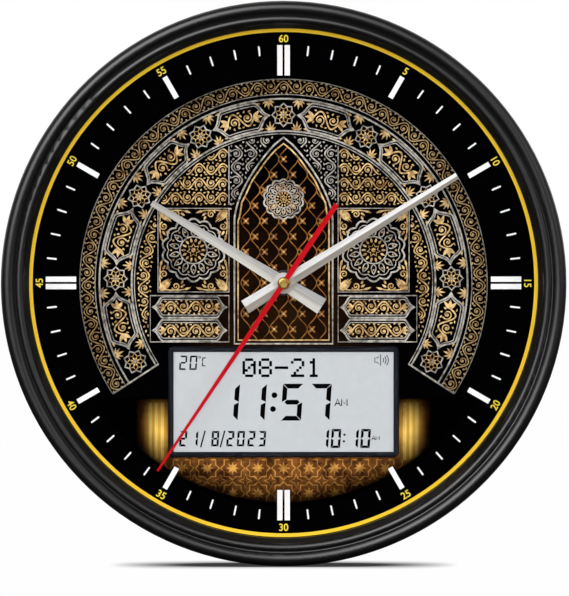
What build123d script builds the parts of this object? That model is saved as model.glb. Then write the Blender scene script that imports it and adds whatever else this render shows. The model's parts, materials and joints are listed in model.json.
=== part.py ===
from build123d import *
from math import cos, pi, radians, sin, tan
import os

# An azan wall clock: a round housing with a quartz movement, three hands and a liquid crystal module.
# Millimetres. The wall is the plane Y = 0, the clock faces -Y, +Z is up and the hands turn about Y
# through the origin. A depth is a distance in front of the wall, and a spot is an (x, z) pair.

# ---- Housing ----
CLOCK_RADIUS = 155.0
BEZEL_WIDTH = 15.0  # from the opening to the outermost line
BEZEL_STAND = 7.8  # the roll's crest stands this far in front of the lens
ROLL_RADIUS = 4.0  # outer roll of the bezel
ROLL_SWEEP = 150.0  # degrees of the roll, from its outermost line inwards
BEAD_RADIUS = 2.6  # inner bead of the bezel
BEAD_INSET = 10.1  # from the outermost line to the bead's crest
BEAD_STEP = 0.8  # the bead's crest lies this far behind the roll's
BEAD_START = 30.0  # degrees above the bead's outermost line, where the valley ends
LIP_THICKNESS = 1.2
BEZEL_WALL = 2.4
BEZEL_ROOF = 4.8  # from the roll's crest to the hollow behind it
RECESS_DEPTH = 7.0  # from the wall to the rear floor
FLOOR_THICKNESS = 2.4
FLOOR_MARGIN = 2.0  # the rear floor is this much smaller than the bezel
RIM_INSET = 19.5  # from the outermost line to the wall rim
RIM_THICKNESS = 3.0
VENT_WIDTH = 26.0
VENT_HEIGHT = 4.0
VENT_ANGLES = (210, 235, 260, 280, 305, 330)
CASE_SCREW_COUNT = 8
CASE_BOSS_RADIUS = 3.4
CASE_SCREW_LENGTH = 14.0
RIB_HEIGHT = 5.0
RIB_THICKNESS = 1.6
RIB_LENGTH = 26.0
RIB_ANGLES = (20, 48, 70, 110, 132, 160, 200, 340)

# ---- Lens, spacer and dial ----
LENS_THICKNESS = 2.0
LENS_GAP = 0.8  # from the hands' cap to the lens
DIAL_THICKNESS = 1.0
DISC_LEDGE = 3.2  # the lens and the dial reach this far behind the bezel's lip
DISC_FIT = 0.3
SPACER_LEDGE = 0.3  # the spacer ring starts this far behind the bezel's lip
SUPPORT_THICKNESS = 2.4

# ---- Liquid crystal module ----
LCD_GAP = 1.4  # between the module's housing and the movement above it
LCD_WINDOW = (121.0, 55.0)
LCD_BAND = 3.0  # frame around the window
LCD_FRAME_HEIGHT = 1.6
LCD_FRAME_CORNER = 3.2
LCD_BEVEL = 0.8
LCD_SKIRT = 0.9  # wall of the frame's skirt
LCD_SKIRT_DEPTH = 7.0
LCD_GLASS_BORDER = 0.9  # the glass reaches this far past the window
LCD_GLASS_THICKNESS = 2.8
REFLECTOR_THICKNESS = 0.5
REFLECTOR_HEIGHT = 48.0
ZEBRA_WIDTH = 2.0
ZEBRA_LENGTH = 108.0
HOUSING_WALL = 6.4
BOARD_THICKNESS = 1.6
BOARD_GAP = 6.9  # from the dial's back to the board's front
BOARD_SCREW_INSET = 3.2
BOARD_SCREW_RADIUS = 1.0
SLIP = 0.2  # clearance of pieces that push together by hand
# Components as (size, height, spot from the module's centre), the round ones with a radius for a size
CHIPS = (((14.0, 14.0), 1.4, (-8.0, 9.5)), ((10.0, 6.0), 1.6, (-34.0, 15.5)), ((8.0, 3.0), 2.4, (12.0, 13.5)))
CAPACITORS = ((3.2, 5.4, (-46.0, 7.5)), (2.5, 5.0, (-22.0, -0.5)), (2.5, 5.0, (30.0, 9.5)))

# ---- Buttons and switch ----
BUTTON_NAMES = ("mode", "set", "up", "down", "volume", "reset")
BUTTON_PITCH = 16.0
BUTTON_DROP = 22.5  # below the module's centre
BUTTON_RADIUS = 3.5
BUTTON_PROUD = 2.2  # stands out of the rear floor
BUTTON_TRAVEL = 0.8
BUTTON_FLANGE = 1.1
BUTTON_FLANGE_THICKNESS = 0.8
BUTTON_EDGE = 0.55  # radius of the rounded edge
TACT_SIZE = 6.0
TACT_THICKNESS = 3.5
SWITCH_GAP = 28.0  # from the last button's centre to the switch's
SWITCH_TRAVEL = 3.0
SWITCH_BODY = (10.0, 5.0)
SWITCH_KNOB = (3.0, 2.6)
SWITCH_PROUD = 1.8

# ---- Speaker ----
SPEAKER_SPOT = (-68.0, 14.0)
SPEAKER_RADIUS = 26.0
SPEAKER_DEPTH = 14.0
SPEAKER_GAP = 1.1  # between the magnet and the dial
SPEAKER_SCREW_ANGLES = (90, 210, 330)
SPEAKER_FLANGE = 1.0
SPEAKER_SHEET = 0.8
MAGNET_RADIUS = 13.0
MAGNET_THICKNESS = 5.0
CONE_RADIUS = 21.0
CONE_RIM = 1.5  # width of the surround that is glued to the flange
CONE_SHEET = 0.5
CONE_DEPTH = 4.7
CONE_CLEARANCE = 1.2  # between the surround and the basket's wall
DUST_CAP_RADIUS = 6.0
DUST_CAP_HEIGHT = 1.8
GRILLE_HOLE_RADIUS = 1.4
GRILLE_PITCH = 5.0  # from each ring of holes to the next
GRILLE_RING_COUNT = 4

# ---- Batteries ----
BATTERY_RADIUS = 7.0
BATTERY_LENGTH = 50.5
BATTERY_NUB = 1.2
BATTERY_NUB_RADIUS = 2.7
BATTERY_COUNT = 3
BATTERY_PITCH = 14.8
BAY_SPOT = (72.0, 14.0)
BAY_WALL = 1.6
BAY_ROOF = 0.9
CONTACT_SIZE = 9.0
CONTACT_THICKNESS = 0.4
SPRING_LENGTH = 6.0
SPRING_RADIUS = 3.2
SPRING_WIRE = 0.35
SPRING_TURNS = 4
DOOR_THICKNESS = 2.0
DOOR_GROOVES = 3
GROOVE_DEPTH = 0.5
DOOR_GAP = 0.3
DOOR_PIN_RADIUS = 0.6
DOOR_PIN_LENGTH = 1.5
LATCH_WIDTH = 10.0
LATCH_REACH = 1.2

# ---- Hanger ----
HANGER_DROP = 10.5  # from the wall rim to the plate's upper edge
HANGER_SIZE = (60.0, 26.0)
HANGER_THICKNESS = 1.6
HANGER_DEPTH = 3.4  # rear face
KEYHOLE_RADIUS = 4.75
KEYHOLE_SLOT = 5.0
KEYHOLE_RISE = 9.0
HANGER_SCREW_X = 24.0
POCKET_SIZE = (16.0, 26.0)
POCKET_DEPTH = 5.0

# ---- Screws ----
SCREW_RADIUS = 1.3
SCREW_HEAD_RADIUS = 2.7
SCREW_HEAD = 1.8
RECESS_WIDTH = 0.5  # width of each bar of the cross recess
SCREW_FIT = 0.05  # radial gap between a screw and its pilot hole
SCREW_PASS = 0.3  # radial gap between a screw and the hole that it passes through

# ---- Quartz movement; a level is a distance behind the dial's back ----
MOVEMENT_THICKNESS = 16.0
MOVEMENT_WALL = 1.2
MOVEMENT_CORNER = 3.0
MOVEMENT_OPENING = 1.0  # gap around the movement in the rear floor
MOVEMENT_SPRING = 2.3  # length of its pressed contact spring
NECK_RADIUS = 3.95
NECK_PROUD = 0.5  # the neck ends this far in front of its nut
NUT_RADIUS = 5.6
NUT_THICKNESS = 1.8
WASHER_RADIUS = 7.0
WASHER_THICKNESS = 0.4
NUT_SLOT = (1.0, 0.8)  # wrench slot in the nut's edge
RUNNING_FIT = 0.06
PIVOT_RADIUS = 0.35
ARBOR_RADIUS = 0.6
SETTING_ARBOR_RADIUS = 1.0
SECOND_ARBOR_RADIUS = 0.75
CANNON_RADIUS = 1.6
HOUR_TUBE_RADIUS = 2.5
WHEEL_THICKNESS = 0.8
HOUR_LEVEL = 1.6
CANNON_LEVEL = 2.9
PLATE_LEVEL = 4.3
MINUTE_LEVEL = 5.6
THIRD_LEVEL = 6.9
SECOND_LEVEL = 8.2
STEP_LEVEL = 9.5
STATOR_LEVEL = 11.1
BOSS_LEVEL = 12.4
PIVOT_DEPTH = 1.6
PLATE_THICKNESS = 0.8
PLATE_MARGIN = (1.8, 2.0)  # beside and above the plate, inside the front case
PLATE_GAP = 1.2  # between the plate and the battery bay's wall
POST_INSETS = (2.5, 3.2, 2.8)  # of the posts from the plate's sides, bottom and top
POST_RADIUS = 1.8
BAY_PARTITION = -11.4  # top face of the movement's battery bay wall
KNOB_RADIUS = 6.5
KNOB_GAP = 0.5
KNOB_REAR = 3.0
KNOB_FLUTES = 24

# Wheel centres: distances and directions in the plane of the dial
MOTION_DISTANCE = 11.5
MOTION_ANGLE = 45.0
THIRD_DISTANCE = 10.2
THIRD_ANGLE = 135.0
STEP_DISTANCE = 10.5
STEP_ANGLE = -12.0
ROTOR_DISTANCE = 8.2
ROTOR_ANGLE = -10.0
CANNON_TEETH, MOTION_TEETH = 10, 30
MOTION_LEAVES, HOUR_TEETH = 8, 32
THIRD_LEAVES, MINUTE_TEETH = 8, 64
SECOND_LEAVES, THIRD_TEETH = 8, 60
STEP_LEAVES, SECOND_TEETH = 10, 40
ROTOR_LEAVES, STEP_TEETH = 8, 60
ADDENDUM = 0.85  # tooth height over the pitch circle, in modules
DEDENDUM = 1.2
TOOTH_TIP, TOOTH_PITCH, TOOTH_ROOT = 0.16, 0.40, 0.50  # tooth widths, as shares of the pitch

ROTOR_MAGNET_RADIUS = 2.9
ROTOR_MAGNET_THICKNESS = 1.2
STATOR_THICKNESS = 0.8
STATOR_HOLE_RADIUS = 3.3
STATOR_LEG = 2.5
STATOR_MARGIN = 1.8  # between the stator and the front case's wall
STATOR_PROUD = 0.1  # its legs end this far past the coil's core
STATOR_LEFT = -2.0
STATOR_BRIDGE = 13.0
COIL_RADIUS = 3.3
COIL_END = 5.0  # the core reaches this far past the winding
COIL_GAP = 0.5  # between the flanges and the front case's wall
COIL_CORE_WIDTH = 3.0
COIL_CORE_THICKNESS = 1.0
COIL_FLANGE_RADIUS = 3.9
COIL_FLANGE = 0.8
CIRCUIT_HEIGHT = 10.0
CIRCUIT_MARGIN = 1.2  # between the circuit and the front case's wall
CIRCUIT_GAP = 1.6  # between the circuit and the stator
CIRCUIT_THICKNESS = 0.8

# ---- Hands: angles clockwise from twelve, lengths from the axis ----
HOUR_ANGLE, HOUR_TIP, HOUR_TAIL = 301.3, 84.8, 24.6
MINUTE_ANGLE, MINUTE_TIP, MINUTE_TAIL = 58.25, 112.1, 24.9
SECOND_ANGLE, SECOND_TIP, SECOND_TAIL = 213.9, 124.3, 52.2
HOUR_WIDTHS = (9.4, 7.2, 3.0)  # tail end, hub and tip
MINUTE_WIDTHS = (8.0, 7.2, 3.6)
SECOND_WIDTHS = (2.8, 3.0, 1.2)
HOUR_HAND_GAP = 0.5  # from the neck to the hour hand
MINUTE_HAND_STEP = 2.3  # from the hour hand to the minute hand
SECOND_HAND_STEP = 2.4  # from the minute hand to the second hand
HAND_EDGE = 0.35
HAND_RIDGE = 0.7
SECOND_SHEET = 0.3
HOUR_HUB_RADIUS = 5.0
MINUTE_HUB_RADIUS = 5.8
SECOND_HUB_RADIUS = 3.4
HUB_THICKNESS = 0.7
PRESS_GAP = 0.02  # radial gap of pieces pressed on one arbor
TUBE_PROUD = 0.3  # a hand's tube ends this far in front of its hub
CAP_RADIUS = 3.3
CAP_HEIGHT = 1.5
CAP_EDGE = 1.2  # radius of the cap's rounded edge
CAP_STEM_RADIUS = 1.5
CAP_STEM = 1.1

# ---- Leads inside the case ----
LEAD_DIAMETER = 1.8
LEAD_BEND = 0.45  # share of the shorter run that an arc may use
LEAD_RISE = 0.3  # share of the rise that each straight end takes
HEADER_SIZE = (8.0, 5.0)
HEADER_THICKNESS = 5.0
HEADER_DROP = 6.6  # below the board's upper edge
SPEAKER_HEADER_X = -58.0
BATTERY_HEADER_X = 56.0
TERMINAL_SIZE = (6.0, 3.4)
TERMINAL_THICKNESS = 4.6

# ---- Worked out from the above: round pieces ----
OPENING_RADIUS = CLOCK_RADIUS - BEZEL_WIDTH
BEAD_CREST_RADIUS = CLOCK_RADIUS - BEAD_INSET
RIM_RADIUS = CLOCK_RADIUS - RIM_INSET
SPACER_INNER_RADIUS = OPENING_RADIUS + SPACER_LEDGE
DISC_RADIUS = OPENING_RADIUS + DISC_LEDGE
SEAT_RADIUS = DISC_RADIUS + DISC_FIT
INNER_WALL_RADIUS = SEAT_RADIUS + BEZEL_WALL
OUTER_WALL_RADIUS = CLOCK_RADIUS - BEZEL_WALL
CASE_SCREW_RADIUS = (INNER_WALL_RADIUS + OUTER_WALL_RADIUS) / 2

# ---- Worked out: depths, from the rear floor forwards ----
FLOOR_DEPTH = RECESS_DEPTH + FLOOR_THICKNESS  # inner face of the rear floor
DIAL_BACK = FLOOR_DEPTH + SPEAKER_DEPTH + SPEAKER_GAP
DIAL_DEPTH = DIAL_BACK + DIAL_THICKNESS  # front face
NECK_LENGTH = DIAL_THICKNESS + WASHER_THICKNESS + NUT_THICKNESS + NECK_PROUD
HOUR_HAND_DEPTH = DIAL_BACK + NECK_LENGTH + HOUR_HAND_GAP
MINUTE_HAND_DEPTH = HOUR_HAND_DEPTH + MINUTE_HAND_STEP
SECOND_HAND_DEPTH = MINUTE_HAND_DEPTH + SECOND_HAND_STEP
LENS_BACK = SECOND_HAND_DEPTH + SECOND_SHEET + CAP_HEIGHT + LENS_GAP
LENS_DEPTH = LENS_BACK + LENS_THICKNESS  # front face
CLOCK_DEPTH = LENS_DEPTH + BEZEL_STAND
BOARD_FRONT = DIAL_BACK - BOARD_GAP
BOARD_BACK = BOARD_FRONT - BOARD_THICKNESS

# ---- Worked out: the movement, whose width follows its cell and whose height follows its train ----
MOVEMENT_SIZE = (
    BATTERY_LENGTH + MOVEMENT_SPRING + 2 * (CONTACT_THICKNESS + MOVEMENT_WALL),
    2 * (2 * BATTERY_RADIUS + SLIP + 2 * MOVEMENT_WALL - BAY_PARTITION),
)
MOVEMENT_INNER = tuple(size / 2 - MOVEMENT_WALL for size in MOVEMENT_SIZE)  # half the space inside its walls
PLATE_HALF = MOVEMENT_INNER[0] - PLATE_MARGIN[0]
PLATE_ENDS = (BAY_PARTITION + PLATE_GAP, MOVEMENT_INNER[1] - PLATE_MARGIN[1])
POST_SPOTS = [
    (side * (PLATE_HALF - POST_INSETS[0]), end)
    for end in (PLATE_ENDS[0] + POST_INSETS[1], PLATE_ENDS[1] - POST_INSETS[2])
    for side in (-1, 1)
]
STATOR_RIGHT = MOVEMENT_INNER[0] - STATOR_MARGIN
COIL_CORE = (STATOR_RIGHT - STATOR_LEFT, COIL_CORE_WIDTH)
COIL_SPOT = ((STATOR_LEFT + STATOR_RIGHT) / 2, MOVEMENT_INNER[1] - COIL_GAP - COIL_FLANGE_RADIUS)
COIL_LENGTH = COIL_CORE[0] - 2 * COIL_END
STATOR_TOP = COIL_SPOT[1] + COIL_CORE_WIDTH / 2 + STATOR_PROUD
CIRCUIT_SIDES = (CIRCUIT_MARGIN - MOVEMENT_INNER[0], STATOR_LEFT - CIRCUIT_GAP)
CIRCUIT_SIZE = (CIRCUIT_SIDES[1] - CIRCUIT_SIDES[0], CIRCUIT_HEIGHT)
CIRCUIT_SPOT = (sum(CIRCUIT_SIDES) / 2, MOVEMENT_INNER[1] - CIRCUIT_MARGIN - CIRCUIT_HEIGHT / 2)

# ---- Worked out: the module, the hanger, the buttons and the battery bay ----
LCD_CUTOUT = tuple(size + 2 * (LCD_GLASS_BORDER + LCD_SKIRT + 2 * SLIP) for size in LCD_WINDOW)
LCD_GLASS = tuple(size + 2 * LCD_GLASS_BORDER for size in LCD_WINDOW)
HOUSING_SIZE = tuple(size + 2 * HOUSING_WALL for size in LCD_CUTOUT)
LCD_SPOT = (0.0, -(MOVEMENT_SIZE[1] + HOUSING_SIZE[1]) / 2 - LCD_GAP)
SPEAKER_HEADER = (SPEAKER_HEADER_X, LCD_SPOT[1] + HOUSING_SIZE[1] / 2 - HEADER_DROP)
BATTERY_HEADER = (BATTERY_HEADER_X, SPEAKER_HEADER[1])
HANGER_SPOT = (0.0, RIM_RADIUS - HANGER_DROP - HANGER_SIZE[1] / 2)
BAY_LENGTH = BATTERY_LENGTH + SPRING_LENGTH + 2 * CONTACT_THICKNESS
BAY_WIDTH = (BATTERY_COUNT - 1) * BATTERY_PITCH + 2 * BATTERY_RADIUS + 2 * DOOR_GAP
DOOR_REAR = (RECESS_DEPTH + FLOOR_DEPTH - DOOR_THICKNESS) / 2
DOOR_FRONT = DOOR_REAR + DOOR_THICKNESS
BATTERY_DEPTH = DOOR_FRONT + SLIP + BATTERY_RADIUS
BAY_DEPTH = BATTERY_DEPTH + BATTERY_RADIUS + SLIP
DOOR_HINGE = (BAY_SPOT[1] + BAY_LENGTH / 2 - DOOR_GAP - DOOR_THICKNESS / 2, (DOOR_REAR + DOOR_FRONT) / 2)
BUTTON_SPOTS = [
    ((number - len(BUTTON_NAMES) / 2) * BUTTON_PITCH, LCD_SPOT[1] - BUTTON_DROP)
    for number in range(len(BUTTON_NAMES))
]
SWITCH_SPOT = (BUTTON_SPOTS[-1][0] + SWITCH_GAP, BUTTON_SPOTS[-1][1])
BATTERY_OFFSETS = [(number - (BATTERY_COUNT - 1) / 2) * BATTERY_PITCH for number in range(BATTERY_COUNT)]


def layer(depth, spot=(0, 0), turn=0.0):
    """Sketch plane parallel to the wall: local x is +X, local y is +Z, and extruding goes forwards.

    The spot is its origin, and it may be turned anticlockwise by an angle in degrees."""
    a = radians(turn)
    return Plane(origin=(spot[0], -depth, spot[1]), x_dir=(cos(a), 0, sin(a)), z_dir=(0, -1, 0))


def level(distance):
    """Depth of a level inside the movement, measured backwards from the dial's back."""
    return DIAL_BACK - distance


# Radius along local x and depth along local y, for profiles that are revolved about the hands' axis
PROFILE = Plane(origin=(0, 0, 0), x_dir=(1, 0, 0), z_dir=(0, 0, -1))


def polar(distance, angle):
    """Spot at a distance from the axis and an angle anticlockwise from +X."""
    return distance * cos(radians(angle)), distance * sin(radians(angle))


def shifted(spot, distance, angle):
    """Spot at a distance and an angle from another spot."""
    step = polar(distance, angle)
    return spot[0] + step[0], spot[1] + step[1]


MOTION_SPOT = polar(MOTION_DISTANCE, MOTION_ANGLE)
THIRD_SPOT = polar(THIRD_DISTANCE, THIRD_ANGLE)
STEP_SPOT = polar(STEP_DISTANCE, STEP_ANGLE)
ROTOR_SPOT = shifted(STEP_SPOT, ROTOR_DISTANCE, ROTOR_ANGLE)
CASE_SCREW_SPOTS = [
    polar(CASE_SCREW_RADIUS, (number + 0.5) * 360 / CASE_SCREW_COUNT) for number in range(CASE_SCREW_COUNT)
]
BOARD_SCREW_SPOTS = [
    (
        LCD_SPOT[0] + side * (HOUSING_SIZE[0] / 2 - BOARD_SCREW_INSET),
        LCD_SPOT[1] + end * (HOUSING_SIZE[1] / 2 - BOARD_SCREW_INSET),
    )
    for side in (-1, 1)
    for end in (-1, 1)
]
SPEAKER_SCREW_SPOTS = [
    shifted(SPEAKER_SPOT, SPEAKER_RADIUS + SCREW_RADIUS + SCREW_PASS, angle) for angle in SPEAKER_SCREW_ANGLES
]
HANGER_SCREW_SPOTS = [(HANGER_SPOT[0] + side * HANGER_SCREW_X, HANGER_SPOT[1]) for side in (-1, 1)]


def disc(radius, back, front, spot=(0, 0), mode=Mode.ADD):
    """Round plate between two depths, added to the part under construction."""
    with BuildSketch(layer(back)) as outline:
        with Locations(spot):
            Circle(radius)
    extrude(outline.sketch, amount=front - back, mode=mode)


def block(size, back, front, spot=(0, 0), corner=0.0, mode=Mode.ADD):
    """Rectangular plate between two depths, with rounded corners where a corner radius is given."""
    with BuildSketch(layer(back)) as outline:
        with Locations(spot):
            if corner:
                RectangleRounded(size[0], size[1], corner)
            else:
                Rectangle(size[0], size[1])
    extrude(outline.sketch, amount=front - back, mode=mode)


def ring(outer, inner, back, front, spot=(0, 0), mode=Mode.ADD):
    """Flat ring between two depths."""
    with BuildSketch(layer(back)) as outline:
        with Locations(spot):
            Circle(outer)
            Circle(inner, mode=Mode.SUBTRACT)
    extrude(outline.sketch, amount=front - back, mode=mode)


def screws(spots, seat, length, forwards=True, radius=SCREW_RADIUS):
    """Pan-head screws whose heads sit on the seat depth, with plain shanks and a cross recess."""
    way = 1 if forwards else -1
    with BuildPart() as group:
        for spot in spots:
            disc(SCREW_HEAD_RADIUS, seat, seat - way * SCREW_HEAD, spot)
            disc(radius, seat, seat + way * length, spot)
            recess = SCREW_HEAD / 2
            for size in ((SCREW_HEAD_RADIUS, RECESS_WIDTH), (RECESS_WIDTH, SCREW_HEAD_RADIUS)):
                block(size, seat - way * SCREW_HEAD, seat - way * recess, spot, mode=Mode.SUBTRACT)
    return group.part


# ---- Housing pieces ----
def front_bezel():
    """Moulded ring: an outer roll, a valley and an inner bead, hollow behind, with screw bosses."""
    roll = (CLOCK_RADIUS - ROLL_RADIUS, CLOCK_DEPTH - ROLL_RADIUS)
    bead = (BEAD_CREST_RADIUS, CLOCK_DEPTH - BEAD_STEP - BEAD_RADIUS)
    roof = CLOCK_DEPTH - BEZEL_ROOF
    with BuildPart() as bezel:
        with BuildSketch(PROFILE):
            with BuildLine():
                Line((CLOCK_RADIUS, FLOOR_DEPTH), (CLOCK_RADIUS, roll[1]))
                outer = CenterArc(roll, ROLL_RADIUS, 0, ROLL_SWEEP)
                inner = CenterArc(bead, BEAD_RADIUS, BEAD_START, 180 - BEAD_START)
                Line(outer @ 1, inner @ 0)
                Polyline(
                    inner @ 1,
                    (OPENING_RADIUS, LENS_DEPTH + LIP_THICKNESS),
                    (OPENING_RADIUS, LENS_DEPTH),
                    (SEAT_RADIUS, LENS_DEPTH),
                    (SEAT_RADIUS, FLOOR_DEPTH),
                    (INNER_WALL_RADIUS, FLOOR_DEPTH),
                    (INNER_WALL_RADIUS, roof),
                    (OUTER_WALL_RADIUS, roof),
                    (OUTER_WALL_RADIUS, FLOOR_DEPTH),
                    (CLOCK_RADIUS, FLOOR_DEPTH),
                )
            make_face()
        revolve(axis=Axis.Y)
        for spot in CASE_SCREW_SPOTS:
            disc(CASE_BOSS_RADIUS, FLOOR_DEPTH, roof, spot)
            pilot = SCREW_RADIUS + SCREW_FIT
            disc(pilot, FLOOR_DEPTH, FLOOR_DEPTH + CASE_SCREW_LENGTH, spot, mode=Mode.SUBTRACT)
    return bezel.part


def lens():
    with BuildPart() as pane:
        disc(DISC_RADIUS, LENS_BACK, LENS_DEPTH)
    return pane.part


def dial_spacer_ring():
    with BuildPart() as spacer:
        ring(DISC_RADIUS, SPACER_INNER_RADIUS, DIAL_DEPTH, LENS_BACK)
    return spacer.part


def dial_plate():
    """Printed disc with a hole for the movement's neck and a cut-out for the liquid crystal module."""
    with BuildPart() as dial:
        disc(DISC_RADIUS, DIAL_BACK, DIAL_DEPTH)
        disc(NECK_RADIUS + SLIP, DIAL_BACK, DIAL_DEPTH, mode=Mode.SUBTRACT)
        block(LCD_CUTOUT, DIAL_BACK, DIAL_DEPTH, LCD_SPOT, mode=Mode.SUBTRACT)
    return dial.part


def rear_case():
    """Rear floor with the wall rim, dial support, battery bay, grille, hanger pocket and bosses."""
    with BuildPart() as case:
        disc(CLOCK_RADIUS - FLOOR_MARGIN, RECESS_DEPTH, FLOOR_DEPTH)
        ring(RIM_RADIUS, RIM_RADIUS - RIM_THICKNESS, 0, RECESS_DEPTH)
        ring(SEAT_RADIUS - SLIP, SEAT_RADIUS - SLIP - SUPPORT_THICKNESS, FLOOR_DEPTH, DIAL_BACK)
        for angle in RIB_ANGLES:
            case_rib(angle)
        for angle in VENT_ANGLES:
            rim_vent(angle)
        case_bosses()
        battery_bay()
        hanger_pocket()
        opening = tuple(size + 2 * MOVEMENT_OPENING for size in MOVEMENT_SIZE)
        block(opening, RECESS_DEPTH, FLOOR_DEPTH, corner=MOVEMENT_CORNER, mode=Mode.SUBTRACT)
        for spot in CASE_SCREW_SPOTS:
            disc(SCREW_RADIUS + SCREW_PASS, RECESS_DEPTH, FLOOR_DEPTH, spot, mode=Mode.SUBTRACT)
        for spot in BUTTON_SPOTS:
            disc(BUTTON_RADIUS + SLIP, RECESS_DEPTH, FLOOR_DEPTH, spot, mode=Mode.SUBTRACT)
        slot = (SWITCH_KNOB[0] + SWITCH_TRAVEL + 2 * SLIP, SWITCH_KNOB[1] + 2 * SLIP)
        block(slot, RECESS_DEPTH, FLOOR_DEPTH, SWITCH_SPOT, mode=Mode.SUBTRACT)
        for ring_number in range(GRILLE_RING_COUNT):
            holes = 6 * ring_number or 1
            for number in range(holes):
                hole = shifted(SPEAKER_SPOT, ring_number * GRILLE_PITCH, number * 360 / holes)
                disc(GRILLE_HOLE_RADIUS, RECESS_DEPTH, FLOOR_DEPTH, hole, mode=Mode.SUBTRACT)
    return case.part


def case_rib(angle):
    """Radial stiffening rib that runs inwards from the dial support."""
    far = SEAT_RADIUS - SLIP - SUPPORT_THICKNESS / 2
    with BuildSketch(layer(FLOOR_DEPTH)) as outline:
        with Locations(Location(polar(far - RIB_LENGTH / 2, angle), angle)):
            Rectangle(RIB_LENGTH, RIB_THICKNESS)
    extrude(outline.sketch, amount=RIB_HEIGHT)


def rim_vent(angle):
    """Notch in the wall rim that lets the sound out."""
    with BuildSketch(layer(0)) as outline:
        with Locations(Location(polar(RIM_RADIUS - RIM_THICKNESS / 2, angle), angle)):
            Rectangle(3 * RIM_THICKNESS, VENT_WIDTH)
    extrude(outline.sketch, amount=VENT_HEIGHT, mode=Mode.SUBTRACT)


def case_bosses():
    """Bosses with pilot holes for the speaker screws and the hanger screws."""
    pilot = SCREW_RADIUS + SCREW_FIT
    boss = pilot + BAY_WALL
    for spot in SPEAKER_SCREW_SPOTS:
        disc(boss, RECESS_DEPTH, FLOOR_DEPTH + SPEAKER_FLANGE, spot)
    seat = SPEAKER_RADIUS + SLIP
    flange_front = FLOOR_DEPTH + SPEAKER_FLANGE
    ring(seat + BAY_WALL, seat, FLOOR_DEPTH, flange_front, SPEAKER_SPOT)
    for spot in SPEAKER_SCREW_SPOTS:
        disc(pilot, RECESS_DEPTH + SCREW_PASS, flange_front, spot, mode=Mode.SUBTRACT)
    disc(seat, FLOOR_DEPTH, flange_front, SPEAKER_SPOT, mode=Mode.SUBTRACT)
    hanger_front = HANGER_DEPTH + HANGER_THICKNESS
    for spot in HANGER_SCREW_SPOTS:
        disc(boss, hanger_front, FLOOR_DEPTH + POCKET_DEPTH, spot)
        disc(pilot, hanger_front, FLOOR_DEPTH + POCKET_DEPTH - BAY_WALL, spot, mode=Mode.SUBTRACT)


def battery_bay():
    """Open-backed box for the batteries, with the door's hinge holes and the notch for its latch."""
    inner = (BAY_WIDTH, BAY_LENGTH)
    outer = (BAY_WIDTH + 2 * BAY_WALL, BAY_LENGTH + 2 * BAY_WALL)
    block(outer, FLOOR_DEPTH, BAY_DEPTH + BAY_ROOF, BAY_SPOT)
    block(inner, RECESS_DEPTH, BAY_DEPTH, BAY_SPOT, mode=Mode.SUBTRACT)
    with BuildSketch(Plane.YZ.offset(BAY_SPOT[0] - BAY_WIDTH / 2 - DOOR_PIN_LENGTH)) as bearing:
        with Locations((-DOOR_HINGE[1], DOOR_HINGE[0])):
            Circle(DOOR_PIN_RADIUS + RUNNING_FIT)
    extrude(bearing.sketch, amount=BAY_WIDTH + 2 * DOOR_PIN_LENGTH, mode=Mode.SUBTRACT)
    notch = (LATCH_WIDTH + 2 * DOOR_GAP, 2 * (LATCH_REACH + DOOR_GAP))
    bottom = (BAY_SPOT[0], BAY_SPOT[1] - BAY_LENGTH / 2)
    block(notch, RECESS_DEPTH, DOOR_REAR + DOOR_THICKNESS / 2 + DOOR_GAP, bottom, mode=Mode.SUBTRACT)


def hanger_pocket():
    """Closed pocket behind the hanger plate, which leaves room for the head of the wall screw."""
    outer = (POCKET_SIZE[0] + 2 * BAY_WALL, POCKET_SIZE[1] + 2 * BAY_WALL)
    block(outer, FLOOR_DEPTH, FLOOR_DEPTH + POCKET_DEPTH, HANGER_SPOT)
    block(POCKET_SIZE, RECESS_DEPTH, FLOOR_DEPTH + POCKET_DEPTH - BAY_WALL, HANGER_SPOT, mode=Mode.SUBTRACT)


def hanger_plate():
    """Steel plate with a keyhole: an entry hole and a slot that rises from it."""
    entry = (HANGER_SPOT[0], HANGER_SPOT[1] - KEYHOLE_RISE / 2)
    front = HANGER_DEPTH + HANGER_THICKNESS
    with BuildPart() as plate:
        block(HANGER_SIZE, HANGER_DEPTH, front, HANGER_SPOT, corner=KEYHOLE_SLOT)
        disc(KEYHOLE_RADIUS, HANGER_DEPTH, front, entry, mode=Mode.SUBTRACT)
        block((KEYHOLE_SLOT, KEYHOLE_RISE), HANGER_DEPTH, front, HANGER_SPOT, mode=Mode.SUBTRACT)
        top = (HANGER_SPOT[0], HANGER_SPOT[1] + KEYHOLE_RISE / 2)
        disc(KEYHOLE_SLOT / 2, HANGER_DEPTH, front, top, mode=Mode.SUBTRACT)
        for spot in HANGER_SCREW_SPOTS:
            disc(SCREW_RADIUS + SCREW_PASS, HANGER_DEPTH, front, spot, mode=Mode.SUBTRACT)
    return plate.part


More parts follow.
